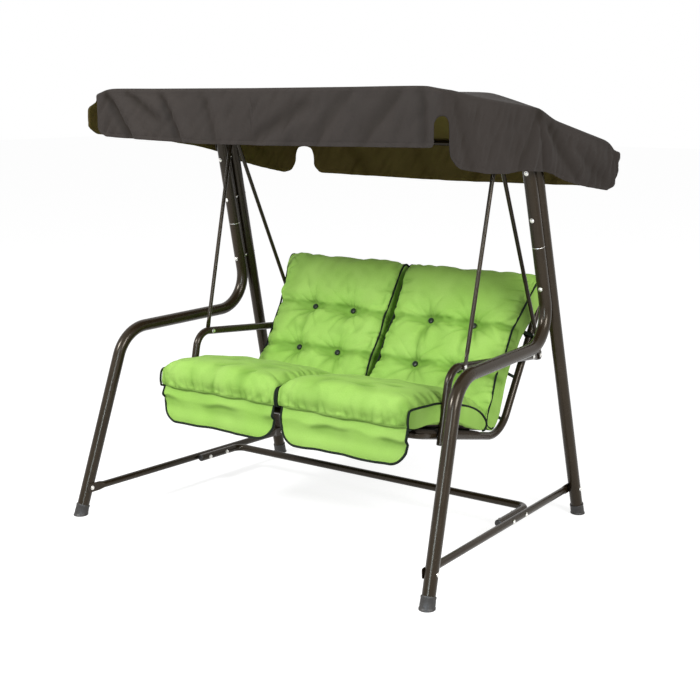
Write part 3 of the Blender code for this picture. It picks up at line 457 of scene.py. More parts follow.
def refine(piece, levels):
    """Subdivides a piece's mesh for good."""
    step = subdivide(piece, levels)
    graph = bpy.context.evaluated_depsgraph_get()
    fine = bpy.data.meshes.new_from_object(piece.evaluated_get(graph), depsgraph=graph)
    piece.modifiers.remove(step)
    coarse = piece.data
    piece.data = fine
    bpy.data.meshes.remove(coarse)


def thicken(piece, thickness, offset=-1.0, inner_finish=0):
    step = piece.modifiers.new("Cloth thickness", "SOLIDIFY")
    step.thickness = thickness
    step.offset = offset
    step.material_offset = inner_finish


def turn_towards(piece, direction):
    """Flips an open sheet's faces if, on the whole, they look away from a direction."""
    looks = sum(face.normal.dot(direction) * face.area for face in piece.data.polygons)
    if looks < 0:
        piece.data.flip_normals()


def set_cloth_map(mesh, place_at):
    """The UV map in metres, from a function of a face and a point's number."""
    layer = mesh.uv_layers.new(name="cloth")
    for face in mesh.polygons:
        for loop in face.loop_indices:
            layer.data[loop].uv = place_at(face, mesh.loops[loop].vertex_index)


def paint_fold_shade(mesh, amount):
    """The fold attribute, from 0 to 1: painted shade that darkens the cloth where a point lies in a hollow.
    """
    layer = mesh.attributes.new("fold", "FLOAT", "POINT")
    layer.data.foreach_set("value", np.clip(amount, 0, 1).astype(np.float32))


def make_sheet(name, points, faces, flat, shade, direction, *finishes):
    """A cloth sheet that looks towards a direction, mapped by its flat places, and its area."""
    piece = make_piece(name, points, faces, *finishes)
    set_cloth_map(piece.data, lambda face, point: flat[point])
    paint_fold_shade(piece.data, shade)
    face_out(piece.data, merge=False)
    turn_towards(piece, direction)
    smooth(piece, 180)
    return piece, sum(face.area for face in piece.data.polygons)


# Bent tubes

def rounded_path(corners, radii):
    """A centreline through the corners, with each inner corner bent to its radius."""
    points = [corners[0]]
    for before, corner, after, radius in zip(corners, corners[1:], corners[2:], radii):
        inward = (before - corner).normalized()
        outward = (after - corner).normalized()
        half_turn = (math.pi - inward.angle(outward)) / 2
        centre = corner + (inward + outward).normalized() * radius / math.cos(half_turn)
        arm = corner + inward * radius * math.tan(half_turn) - centre
        axis = inward.cross(outward).normalized()
        for step in range(BEND_STEPS + 1):
            turn = -2 * half_turn * step / BEND_STEPS
            points.append(centre + Matrix.Rotation(turn, 3, axis) @ arm)
    points.append(corners[-1])
    return points


def path_directions(points):
    directions = []
    for i in range(len(points)):
        before = points[max(i - 1, 0)]
        after = points[min(i + 1, len(points) - 1)]
        incoming = (points[i] - before).normalized()
        outgoing = (after - points[i]).normalized()
        directions.append((incoming + outgoing).normalized())
    return directions


def end_sections(end, radius):
    """A tube end's sections from its tip inwards: (distance, half thickness, half width, squareness)."""
    if end is None:
        tip = radius - END_CHAMFER
        return [(0.0, tip, tip, 1.0), (END_CHAMFER, radius, radius, 1.0)]
    length, half_width = end
    flat = TONGUE_THICKNESS / 2
    sections = []
    for share, width in ((0.0, 0.76), (0.12, 0.90), (0.35, 0.98), (0.7, 1.0)):
        thick = flat * min(1.0, 0.7 + share * 3)
        sections.append((half_width * share, thick, half_width * width, TONGUE_SQUARENESS))
    for step in range(TONGUE_STEPS + 1):
        share = step / TONGUE_STEPS
        eased = float(ease(share))
        thick = flat + (radius - flat) * eased
        wide = half_width + (radius - half_width) * eased
        squareness = TONGUE_SQUARENESS + (1 - TONGUE_SQUARENESS) * eased
        sections.append((length + TONGUE_TRANSITION * share, thick, wide, squareness))
    return sections


def tube_mesh(corners, radii, radius, normal, start=None, end=None):
    """A bent tube's outer skin with closed ends. A pressed flat end lies square to the normal."""
    points = rounded_path(corners, radii)
    directions = path_directions(points)
    stations = []
    for distance, thick, wide, squareness in end_sections(start, radius):
        stations.append((points[0] + directions[0] * distance, thick, wide, squareness, directions[0]))
    for point, direction in zip(points[1:-1], directions[1:-1]):
        stations.append((point, radius, radius, 1.0, direction))
    for distance, thick, wide, squareness in reversed(end_sections(end, radius)):
        stations.append((points[-1] - directions[-1] * distance, thick, wide, squareness, directions[-1]))
    vertices = []
    across = normal.normalized()
    heading = stations[0][4]
    for point, thick, wide, squareness, direction in stations:
        across = heading.rotation_difference(direction) @ across
        heading = direction
        sideways = direction.cross(across).normalized()
        for i in range(TUBE_SIDES):
            angle = 2 * math.pi * i / TUBE_SIDES
            lift = math.copysign(abs(math.cos(angle)) ** squareness, math.cos(angle))
            vertices.append(point + across * thick * lift + sideways * wide * math.sin(angle))
    faces = ring_faces(len(stations), TUBE_SIDES)
    faces.append(tuple(range(TUBE_SIDES)))
    last = (len(stations) - 1) * TUBE_SIDES
    faces.append(tuple(range(last, last + TUBE_SIDES)))
    return vertices, faces


def add_tube(name, node, body, corners, radii, radius, normal, start=None, end=None):
    vertices, faces = tube_mesh(corners, radii, radius, normal, start, end)
    piece = make_piece(name, vertices, faces, COAT)
    face_out(piece.data)
    smooth(piece)
    return mount(piece, body, "powder_coat", node)


def side_point(y, z):
    """The point of the right-hand side frame's plane at a depth and a height."""
    return Vector((FRONT_FOOT[0] - SIDE_LEAN * z - SIDE_TOE_IN * (y - FRONT_FOOT[1]), y, z))


def front_leg_point(z):
    return side_point(FRONT_FOOT[1] + (FRONT_KNEE[0] - FRONT_FOOT[1]) * z / FRONT_KNEE[1], z)


def rear_leg_point(z):
    return side_point(REAR_FOOT_Y + POST_SLOPE * z, z)


def post_point(z):
    return side_point(REAR_FOOT_Y + POST_SLOPE * z - POST_SPACING_Y, z)


def rail_point(y):
    return side_point(y, RAIL_Z) - SIDE_NORMAL * (LEG_RADIUS + TONGUE_THICKNESS / 2 + GAP)


def crossbar_side_point(y):
    return rail_point(y) - SIDE_NORMAL * (RAIL_RADIUS + CROSSBAR_RADIUS + GAP)


def seat_z(y):
    return SEAT_POINT[1] + SEAT_SLOPE * (y - SEAT_POINT[0])


def back_y(z):
    return BACK_POINT[0] + BACK_SLOPE * (z - BACK_POINT[1])


def back_corner():
    """Where the back's line meets the seat's line, as (y, z)."""
    start_z = seat_z(BACK_POINT[0])
    y = BACK_POINT[0] + BACK_SLOPE * (start_z - BACK_POINT[1]) / (1 - BACK_SLOPE * SEAT_SLOPE)
    return y, seat_z(y)


def arm_z(y):
    share = (y - ARM_CORNER[0]) / (REAR_ROD_BOLT[0] - ARM_CORNER[0])
    return ARM_CORNER[1] + (REAR_ROD_BOLT[1] - ARM_CORNER[1]) * share


def both_sides(right):
    """A hoop's corners from its right half, given from the right end to the middle."""
    return right + mirrored(reversed(right), -1.0)


def add_stand_tubes():
    front_leg = [front_leg_point(LEG_END_Z), side_point(*FRONT_KNEE), post_point(REAR_KNEE_Z),
                 post_point(POST_JOINT_Z) - POST_DIRECTION * GAP]
    rear_leg = [rear_leg_point(LEG_END_Z), rear_leg_point(REAR_LEG_TOP_Z)]
    rail = [rail_point(front_leg_point(RAIL_Z).y - RAIL_REACH),
            rail_point(rear_leg_point(RAIL_Z).y + RAIL_REACH)]
    for side, sign in SIDES.items():
        normal = mirrored([SIDE_NORMAL], sign)[0]
        add_tube("front_leg_tube_" + side, "front_leg_" + side, "stand", mirrored(front_leg, sign),
                 [FRONT_KNEE_RADIUS, REAR_KNEE_RADIUS], LEG_RADIUS, normal)
        add_tube("rear_leg_tube_" + side, "rear_leg_" + side, "stand", mirrored(rear_leg, sign), [],
                 LEG_RADIUS, normal)
        add_tube("bottom_rail_tube_" + side, "bottom_rail_" + side, "stand", mirrored(rail, sign), [],
                 RAIL_RADIUS, normal, RAIL_TONGUE, RAIL_TONGUE)
    hoop = both_sides([post_point(POST_JOINT_Z), post_point(BEAM_Z)])
    hoop_normal = (hoop[1] - hoop[0]).cross(X_AXIS)
    add_tube("top_hoop_tube", "top_hoop", "stand", hoop, [BEAM_BEND_RADIUS] * 2, LEG_RADIUS, hoop_normal)
    crossbar = both_sides([crossbar_side_point(CROSSBAR_END_Y), crossbar_side_point(CROSSBAR_Y)])
    add_tube("crossbar_tube", "crossbar", "stand", crossbar, [CROSSBAR_BEND_RADIUS] * 2, CROSSBAR_RADIUS,
             Z_AXIS)


def add_seat_tubes():
    arm_end = REAR_ROD_BOLT[0] + ARM_REACH
    arm = [Vector((ARM_X, *ARM_FOOT)), Vector((ARM_X, *ARM_CORNER)),
           Vector((ARM_X, arm_end, arm_z(arm_end)))]
    rod_lift = PLATE_THICKNESS / 2 + TONGUE_THICKNESS / 2 + GAP
    front_bottom = Vector((ARM_X + SEAT_TUBE_RADIUS + TONGUE_THICKNESS / 2 + GAP, FRONT_ROD_BOLT_Y,
                           arm_z(FRONT_ROD_BOLT_Y)))
    rods = {
        "front": (Vector((HANGER_X + rod_lift, SWING_Y, SWING_Z)), front_bottom),
        "rear": (Vector((HANGER_X - rod_lift, SWING_Y, SWING_Z)),
                 Vector((ARM_X + TONGUE_THICKNESS + GAP, *REAR_ROD_BOLT))),
    }
    for side, sign in SIDES.items():
        add_tube("armrest_tube_" + side, "armrest_" + side, "seat", mirrored(arm, sign), [ARM_BEND_RADIUS],
                 SEAT_TUBE_RADIUS, X_AXIS, None, ARM_TONGUE)
        for place, (top, bottom) in rods.items():
            along = (bottom - top).normalized()
            ends = [top - along * ROD_REACH, bottom + along * ROD_REACH]
            name = f"hanger_rod_bar_{place}_{side}"
            add_tube(name, f"hanger_rod_{place}_{side}", "seat", mirrored(ends, sign), [], ROD_RADIUS,
                     X_AXIS, ROD_TONGUE, ROD_TONGUE)
    seat = both_sides([Vector((SEAT_TUBE_X, y, seat_z(y))) for y in (SEAT_REAR_Y, SEAT_FRONT_Y)])
    add_tube("seat_frame_tube", "seat_frame", "seat", seat, [SEAT_BEND_RADIUS] * 2, SEAT_TUBE_RADIUS, SEAT_UP)
    back = both_sides([Vector((SEAT_TUBE_X, SEAT_REAR_Y + GAP, seat_z(SEAT_REAR_Y + GAP))),
                       Vector((SEAT_TUBE_X, *back_corner())),
                       Vector((SEAT_TUBE_X, back_y(BACK_TOP_Z), BACK_TOP_Z))])
    bends = [BACK_BOTTOM_BEND_RADIUS, BACK_TOP_BEND_RADIUS]
    add_tube("back_frame_tube", "back_frame", "seat", back, bends + bends[::-1], SEAT_TUBE_RADIUS, X_AXIS)


def add_canopy_tubes():
    plate_x = post_point(BRACKET_FOOT_Z).x + LEG_RADIUS + GAP + PLATE_THICKNESS
    front_x = plate_x + GAP + TONGUE_THICKNESS / 2
    rear_x = front_x + TONGUE_THICKNESS + GAP
    rear_bends = [CANOPY_SIDE_BEND_RADIUS, CANOPY_CORNER_RADIUS]
    hoops = {
        "canopy_front_tube": ([CANOPY_FRONT], [CANOPY_CORNER_RADIUS], front_x),
        "canopy_rear_tube": ([CANOPY_REAR_BEND, CANOPY_REAR], rear_bends, rear_x),
    }
    for node, (points, bends, tongue_x) in hoops.items():
        pivot = Vector((tongue_x, CANOPY_Y, CANOPY_Z))
        right = [pivot] + [Vector((tongue_x, y, z)) for y, z in points]
        right[-1].x = CANOPY_TUBE_X
        right[0] = pivot + (pivot - right[1]).normalized() * CANOPY_REACH
        add_tube(node + "_bar", node, "canopy", both_sides(right), bends + bends[::-1], CANOPY_TUBE_RADIUS,
                 X_AXIS, CANOPY_TONGUE, CANOPY_TONGUE)


def add_foot_caps():
    """Flared caps, flat on the floor and ribbed round the sleeve."""
    # (distance up the leg, radius, how far square to the leg, how far ribbed)
    profile = [
        (0.0, CAP_RIM_RADIUS - 0.0016, 0.0, 0.0),
        (0.0014, CAP_RIM_RADIUS, 0.0, 0.0),
        (CAP_RIM_HEIGHT - 0.001, CAP_RIM_RADIUS, 0.0, 0.0),
        (CAP_RIM_HEIGHT, CAP_RIM_RADIUS - 0.001, 0.0, 0.0),
        (CAP_RIM_HEIGHT * 1.5, CAP_SLEEVE_RADIUS + 0.0006, 0.3, 0.5),
        (CAP_RIM_HEIGHT * 2.2, CAP_SLEEVE_RADIUS + 0.0006, 0.6, 1.0),
        (CAP_HEIGHT * 0.80, CAP_SLEEVE_RADIUS, 1.0, 1.0),
        (CAP_HEIGHT * 0.84, CAP_SLEEVE_RADIUS + 0.0008, 1.0, 0.0),
        (CAP_HEIGHT * 0.97, CAP_SLEEVE_RADIUS + 0.0008, 1.0, 0.0),
        (CAP_HEIGHT, CAP_SLEEVE_RADIUS, 1.0, 0.0),
        (CAP_HEIGHT, LEG_RADIUS + GAP, 1.0, 0.0),
        (CAP_HEIGHT - 0.004, LEG_RADIUS + GAP, 1.0, 0.0),
    ]
    size = CAP_RIBS * CAP_RIB_POINTS
    for place, leg_point in (("front", front_leg_point), ("rear", rear_leg_point)):
        foot = leg_point(0.0)
        axis = (leg_point(1.0) - foot).normalized()
        vertices = []
        for distance, radius, squared, ribbed in profile:
            facing = Z_AXIS.lerp(axis, squared).normalized()
            wide = facing.cross(X_AXIS).normalized()
            across = wide.cross(facing)
            centre = foot + axis * (distance / (axis.z if squared == 0 else 1.0))
            for i in range(size):
                angle = 2 * math.pi * i / size
                out = radius - CAP_RIB_HEIGHT * ribbed * (0.5 + 0.5 * math.cos(angle * CAP_RIBS))
                vertices.append(centre + (across * math.cos(angle) + wide * math.sin(angle)) * out)
        faces = ring_faces(len(profile), size)
        faces.append(tuple(range(size)))
        faces.append(tuple(range((len(profile) - 1) * size, len(profile) * size)))
        for side, sign in SIDES.items():
            node = f"foot_cap_{place}_{side}"
            piece = make_piece(node + "_ribbed", mirrored(vertices, sign), faces, CAP)
            face_out(piece.data)
            smooth(piece, 50)
            mount(piece, "stand", "cap_plastic", node)


# Geometry node trees

class NodeTree:
    """A geometry node tree with named inputs."""

    def __init__(self, name):
        self.tree = bpy.data.node_groups.new(name, "GeometryNodeTree")
        self.tree.interface.new_socket("Geometry", in_out="INPUT", socket_type="NodeSocketGeometry")
        self.tree.interface.new_socket("Geometry", in_out="OUTPUT", socket_type="NodeSocketGeometry")
        self.inside = self.tree.nodes.new("NodeGroupInput")
        self.outside = self.tree.nodes.new("NodeGroupOutput")
        self.identifiers = {}

    def input(self, name, kind):
        socket = self.tree.interface.new_socket(name, in_out="INPUT", socket_type=kind)
        self.identifiers[name] = socket.identifier
        return self.inside.outputs[name]

    def node(self, kind, inputs, output=0, **settings):
        made = self.tree.nodes.new(kind)
        for key, value in settings.items():
            setattr(made, key, value)
        for key, value in inputs.items():
            socket = made.inputs[key]
            for item in value if isinstance(value, list) else [value]:
                if isinstance(item, bpy.types.NodeSocket):
                    self.tree.links.new(item, socket)
                else:
                    socket.default_value = item
        return made.outputs[output]

    def times(self, socket, factor):
        return self.node("ShaderNodeMath", {0: socket, 1: factor}, operation="MULTIPLY")

    def finish(self, geometry, material):
        real = self.node("GeometryNodeRealizeInstances", {"Geometry": geometry})
        shaded = self.node("GeometryNodeSetShadeSmooth", {"Geometry": real})
        coated = self.node("GeometryNodeSetMaterial", {"Geometry": shaded, "Material": material})
        self.tree.links.new(coated, self.outside.inputs[0])

    def apply(self, name, mesh, values):
        """Runs the tree on a mesh and returns the result as a plain piece."""
        source = link_piece(name + "_source", mesh)
        step = source.modifiers.new(name, "NODES")
        step.node_group = self.tree
        for key, value in values.items():
            step[self.identifiers[key]] = value
        graph = bpy.context.evaluated_depsgraph_get()
        result = bpy.data.meshes.new_from_object(source.evaluated_get(graph), depsgraph=graph)
        result.name = name
        bpy.data.objects.remove(source)
        return link_piece(name, result)


def fastener_tree():
    """Bolt heads, nuts, shanks and spacers on points that carry their kind, facing and stretch."""
    tree = NodeTree("fasteners")
    head = tree.input("Head Radius", "NodeSocketFloat")
    height = tree.input("Head Height", "NodeSocketFloat")
    shank = tree.input("Shank Radius", "NodeSocketFloat")
    spacer = tree.input("Spacer Radius", "NodeSocketFloat")
    metal = tree.input("Metal", "NodeSocketMaterial")

    def cylinder(sides, radius, depth, lift):
        shape = tree.node("GeometryNodeMeshCylinder", {"Vertices": sides, "Radius": radius, "Depth": depth})
        offset = tree.node("ShaderNodeCombineXYZ", {"Z": lift})
        return tree.node("GeometryNodeTransform", {"Geometry": shape, "Translation": offset})

    washer = cylinder(28, tree.times(head, 1.12), tree.times(height, 0.28), tree.times(height, 0.14))
    ball = tree.node("GeometryNodeMeshUVSphere",
                     {"Segments": 24, "Rings": 12, "Radius": tree.times(head, 0.86)})
    flatten = tree.node("ShaderNodeCombineXYZ", {"X": 1.0, "Y": 1.0, "Z": 0.62})
    raised = tree.node("ShaderNodeCombineXYZ", {"Z": tree.times(height, 0.22)})
    dome = tree.node("GeometryNodeTransform", {"Geometry": ball, "Translation": raised, "Scale": flatten})
    bolt_head = tree.node("GeometryNodeJoinGeometry", {"Geometry": [washer, dome]})
    hexagon = cylinder(6, tree.times(head, 0.98), tree.times(height, 0.80), tree.times(height, 0.56))
    tip = cylinder(16, tree.times(shank, 0.95), tree.times(height, 0.5), tree.times(height, 1.1))
    nut = tree.node("GeometryNodeJoinGeometry", {"Geometry": [washer, hexagon, tip]})
    bar = cylinder(16, shank, 1.0, 0.5)
    collar = cylinder(24, spacer, 1.0, 0.5)

    facing = tree.node("GeometryNodeInputNamedAttribute", {"Name": "facing"}, data_type="FLOAT_VECTOR")
    stretch = tree.node("GeometryNodeInputNamedAttribute", {"Name": "stretch"}, data_type="FLOAT")
    kind = tree.node("GeometryNodeInputNamedAttribute", {"Name": "kind"}, data_type="INT")
    turn = tree.node("FunctionNodeAlignRotationToVector", {"Vector": facing}, axis="Z")
    scale = tree.node("ShaderNodeCombineXYZ", {"X": 1.0, "Y": 1.0, "Z": stretch})
    placed = []
    for number, shape in enumerate((bolt_head, nut, bar, collar)):
        chosen = tree.node("FunctionNodeCompare", {2: kind, 3: number}, data_type="INT", operation="EQUAL")
        inputs = {"Points": tree.inside.outputs[0], "Selection": chosen, "Instance": shape,
                  "Rotation": turn, "Scale": scale}
        placed.append(tree.node("GeometryNodeInstanceOnPoints", inputs))
    joined = tree.node("GeometryNodeJoinGeometry", {"Geometry": placed})
    tree.finish(joined, metal)
    return tree


HEAD, NUT, SHANK, SPACER = range(4)


def bolt_points(node, axis, spacer):
    """A bolt's parts as (place, facing, stretch, kind), measured on the frame's own plain bolt."""
    points = np.array([v.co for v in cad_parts[node].data.vertices])
    axis = np.array(axis.normalized())
    along = points @ axis
    skin = 0.0005
    first_end = points[along < along.min() + skin].mean(0)
    last_end = points[along > along.max() - skin].mean(0)
    centre = (first_end + last_end) / 2
    centre = centre - axis * (centre @ axis)
    low = along.min() + HEAD_HEIGHT
    high = along.max() - HEAD_HEIGHT
    parts = [(centre + axis * low, -axis, 1.0, HEAD), (centre + axis * high, axis, 1.0, NUT),
             (centre + axis * low, axis, high - low, SHANK)]
    if spacer:
        first = low + 2 * (LEG_RADIUS + GAP)
        parts.append((centre + axis * first, axis, POST_SPACING - 2 * LEG_RADIUS - GAP, SPACER))
    return parts


def add_bolts(tree, name, body, bolts):
    """All of a body's bolts in one piece. bolts holds (node, direction from head to nut, has spacer)."""
    parts = []
    for node, axis, spacer in bolts:
        parts += bolt_points(node, axis, spacer)
    mesh = bpy.data.meshes.new(name + "_points")
    mesh.from_pydata([tuple(p[0]) for p in parts], [], [])
    labels = (("facing", "FLOAT_VECTOR", 1), ("stretch", "FLOAT", 2), ("kind", "INT", 3))
    for label, kind, column in labels:
        layer = mesh.attributes.new(label, kind, "POINT")
        field = "vector" if kind == "FLOAT_VECTOR" else "value"
        for i, part in enumerate(parts):
            setattr(layer.data[i], field, tuple(part[column]) if field == "vector" else part[column])
    sizes = {"Head Radius": HEAD_RADIUS, "Head Height": HEAD_HEIGHT, "Shank Radius": SHANK_RADIUS,
             "Spacer Radius": SPACER_RADIUS, "Metal": ZINC}
    piece = tree.apply(name, mesh, sizes)
    smooth(piece, 30)
    mount(piece, body, "zinc", *[node for node, _, _ in bolts])


def add_all_bolts():
    tree = fastener_tree()
    stand, seat = [], []
    for side, sign in SIDES.items():
        backward, outward = mirrored([POST_BACKWARD, SIDE_NORMAL], sign)
        for level in ("lower", "middle", "upper"):
            stand.append((f"post_bolt_{level}_{side}", backward, True))
        for place in ("front", "rear"):
            stand.append((f"rail_bolt_{place}_{side}", -outward, False))
            stand.append((f"crossbar_bolt_{place}_{side}", -outward, False))
            seat.append((f"rod_bolt_{place}_{side}", X_AXIS * -sign, False))
        stand.append(("hanger_bolt_" + side, X_AXIS * -sign, False))
        for joint in ("arm", "back"):
            seat.append((f"{joint}_bolt_{side}", X_AXIS * -sign, False))
    add_bolts(tree, "stand_bolts", "stand", stand)
    add_bolts(tree, "seat_bolts", "seat", seat)


# Cushions

CUSHION_WIDTH = 0.588
PAD_CELL = 0.013
PAD_REFINEMENT = 2
# Sections as (along, height), at mid-width and at the sides, from the front or bottom seam over the face
SEAT_MIDDLE = [
    (-0.118, 0.0190), (-0.150, 0.0350), (-0.162, 0.066), (-0.150, 0.102), (-0.108, 0.131), (-0.030, 0.149),
    (0.080, 0.157), (0.200, 0.157), (0.315, 0.148), (0.392, 0.124), (0.424, 0.085), (0.424, 0.042),
    (0.398, 0.0200), (0.300, 0.0190), (0.150, 0.0190), (0.000, 0.0190),
]
SEAT_EDGE = [
    (-0.114, 0.0200), (-0.132, 0.0300), (-0.138, 0.055), (-0.136, 0.080), (-0.116, 0.091), (-0.035, 0.105),
    (0.060, 0.118), (0.190, 0.117), (0.300, 0.106), (0.372, 0.084), (0.410, 0.055), (0.412, 0.035),
    (0.392, 0.0215), (0.300, 0.0300), (0.150, 0.0480), (0.000, 0.0360),
]
BACK_MIDDLE = [
    (-0.296, 0.058), (-0.312, 0.100), (-0.298, 0.140), (-0.250, 0.163), (-0.150, 0.172), (0.000, 0.169),
    (0.120, 0.167), (0.230, 0.164), (0.302, 0.150), (0.344, 0.116), (0.350, 0.076), (0.334, 0.042),
    (0.285, 0.0220), (0.100, 0.0190), (-0.100, 0.0190), (-0.235, 0.0230),
]
BACK_EDGE = [
    (-0.288, 0.070), (-0.298, 0.105), (-0.288, 0.128), (-0.245, 0.146), (-0.150, 0.150), (0.000, 0.141),
    (0.120, 0.134), (0.230, 0.126), (0.300, 0.117), (0.339, 0.099), (0.344, 0.072), (0.331, 0.046),
    (0.278, 0.032), (0.100, 0.052), (-0.100, 0.080), (-0.228, 0.062),
]
# How far across each cushion reaches: (along, inner side, outer side)
SEAT_SIDES = {"right": [(0.0, 0.004, 0.592)], "left": [(0.0, 0.004, 0.592)]}
BACK_SIDES = {
    "right": [(-0.31, 0.008, 0.578), (-0.20, 0.010, 0.584), (-0.10, 0.021, 0.571), (0.00, 0.014, 0.578),
              (0.094, 0.018, 0.574), (0.18, 0.008, 0.590), (0.33, -0.004, 0.612)],
    "left": [(-0.31, 0.008, 0.575), (-0.20, 0.012, 0.580), (-0.10, 0.021, 0.571), (0.00, 0.018, 0.579),
             (0.085, 0.027, 0.583), (0.19, 0.026, 0.602), (0.33, 0.034, 0.640)],
}
# The last point of a section that its piping reaches
BACK_PIPED = 10
SEAT_PIPED = 12
# How far Cloth may swell each cushion, and how hard it blows
SEAT_SWELL = 0.012
BACK_SWELL = 0.014
PAD_GROWTH = 0.06
PAD_PRESSURE = 4.5
PAD_BENDING = 0.25
PAD_FRAMES = 12
# How closely the columns bunch at the sides, and the crown's curve from side to side
COLUMN_BUNCHING = 0.35
CROWN_SQUARENESS = 3.2
CROWN_FALL = 0.62
# Side panels: each ring's share of the edge, and (side, swell) of the inner and the outer panel
PANEL_RINGS = (0.82, 0.60, 0.36, 0.14)
PANEL_SWELL = ((-1.0, -0.002), (1.0, 0.010))
# Heights above the tubes: where the face starts, its crown, and where the base is held
FACE_HEIGHT = 0.09
CROWN_HEIGHT = 0.168
BASE_HEIGHT = 0.026
TUFT_X = (0.195, 0.397)
TUFT_ALONG = (-0.101, 0.095)
TUFT_HEIGHT = (0.138, 0.126)
TUFT_REACH = 0.046
PIPING_RADIUS = 0.0042
BUTTON_RADIUS = 0.0125
BUTTON_LIFT = 0.0010
BUTTON_SEAT_RADIUS = 0.015
TUFT_SEWN_RADIUS = 0.012
TUFT_SHADE_RADIUS = 0.016
TUFT_FLAT_RADIUS = 0.013
# Wrinkles: valleys and gathers as (depth, width), their numbers, and the deepest they go
ROW_VALLEYS = ((0.0050, 0.0200), (0.0030, 0.0085))
COLUMN_VALLEY = (0.0030, 0.0200)
TUFT_GATHER = (0.0085, 0.0070)
EDGE_GATHER = (0.0050, 0.0065)
TUFT_GATHERS = 11
EDGE_GATHERS = 15
DEEPEST_WRINKLE = 0.011
SEAT_PUCKERS = 19
SEAT_FOLDS = 16
SEAT_FOLD_WIDTH = 0.0095


def closed_curve(points, counts):
    """A smooth closed curve through the points, with a given number of steps to each next point."""
    size = len(points)
    place = np.array(points)
    curve, marks = [], []
    for i in range(size):
        before, here, there, after = (place[(i + k) % size] for k in (-1, 0, 1, 2))
        marks.append(len(curve))
        for step in range(counts[i]):
            t = step / counts[i]
            curve.append(0.5 * (2 * here + (there - before) * t
                                + (2 * before - 5 * here + 4 * there - after) * t ** 2
                                + (3 * here - before - 3 * there + after) * t ** 3))
    return np.array(curve), marks


class Pad:
    """One box cushion: a main panel that wraps round from seam to seam, and two side panels."""

    def __init__(self, name, side, origin, along, facing, middle, edge, sides):
        self.name = name
        self.sign = SIDES[side]
        self.along = np.array(along)
        self.facing = np.array(facing)
        self.origin = np.array(origin)
        gaps = [math.dist(a, b) for a, b in zip(middle, middle[1:] + middle[:1])]
        counts = [max(2, round(gap / PAD_CELL)) for gap in gaps]
        self.middle, self.marks = closed_curve(middle, counts)
        self.edge, _ = closed_curve(edge, counts)
        self.ring = len(self.middle)
        self.columns = round(CUSHION_WIDTH / PAD_CELL)
        self.inner = [(s, x) for s, x, _ in sides[side]]
        self.outer = [(s, x) for s, _, x in sides[side]]

    def place(self, x, flat):
        """The point at a distance across the bench and an (along, height) place in the cushion's plane."""
        flat = np.asarray(flat)
        point = self.origin + flat[..., :1] * self.along + flat[..., 1:] * self.facing
        point[..., :1] = np.asarray(x) * self.sign
        return point

    def across(self, u, flat):
        """How far across the bench a place is, for u from -1 at the inner side to 1 at the outer side."""
        inner = along_profile(self.inner, flat[:, 0])
        outer = along_profile(self.outer, flat[:, 0])
        return inner + (outer - inner) * (u + 1) / 2

    def build(self, tufts):
        """The main panel's rows from the inner to the outer side, then each side panel's inner rings."""
        rows, cloth = [], []
        lengths = np.concatenate([[0], np.cumsum(np.linalg.norm(np.diff(self.middle, axis=0), axis=1))])
        for i in range(self.columns + 1):
            even = 2 * i / self.columns - 1
            bunched = -math.cos(math.pi * i / self.columns)
            u = bunched * COLUMN_BUNCHING + even * (1 - COLUMN_BUNCHING)
            rise = (1 - abs(u) ** CROWN_SQUARENESS) ** CROWN_FALL
            flat = self.edge + (self.middle - self.edge) * rise
            x = self.across(u, flat)
            flat = flat + self.dimples(x, flat, tufts)
            rows.append(self.place(x[:, None], flat))
            cloth.append(np.stack([np.full(self.ring, (u + 1) / 2 * CUSHION_WIDTH), lengths], 1))
        self.main_count = len(rows) * self.ring
        heart = self.edge.mean(0)
        for u, swell in PANEL_SWELL:
            for share in PANEL_RINGS:
                flat = heart + (self.edge - heart) * share
                x = self.across(u, flat) + swell * (1 - share ** 2)
                rows.append(self.place(x[:, None], flat))
                cloth.append(flat)
        return np.array(rows), np.array(cloth), lengths[-1]

    def dimples(self, x, flat, tufts):
        """How far the sewn tufts pull the face in, as (along, height) moves."""
        pull = np.zeros_like(flat)
        on_face = flat[:, 1] > FACE_HEIGHT
        for tuft_x, tuft_s, tuft_h in tufts:
            squared = (x - tuft_x) ** 2 + (flat[:, 0] - tuft_s) ** 2
            depth = max(CROWN_HEIGHT - tuft_h, 0.0)
            pull[:, 1] -= on_face * depth * np.exp(-squared / TUFT_REACH ** 2)
        return pull

    def faces(self):
        rows = self.columns + 1
        faces = ring_faces(rows, self.ring)
        ring = self.ring
        panel = len(PANEL_RINGS)
        for end, first in ((0, rows), (self.columns, rows + panel)):
            chain = [end] + [first + k for k in range(panel)]
            for a, b in zip(chain, chain[1:]):
                for i in range(ring):
                    j = (i + 1) % ring
                    faces.append((a * ring + i, a * ring + j, b * ring + j, b * ring + i))
            faces.append(tuple(chain[-1] * ring + i for i in range(ring)))
        return faces

    def seam(self, end, last_mark):
        """Point numbers along a side seam, from the front or bottom seam to a marked corner."""
        row = 0 if end == "inner" else self.columns
        return [row * self.ring + i for i in range(self.marks[last_mark] + 1)]


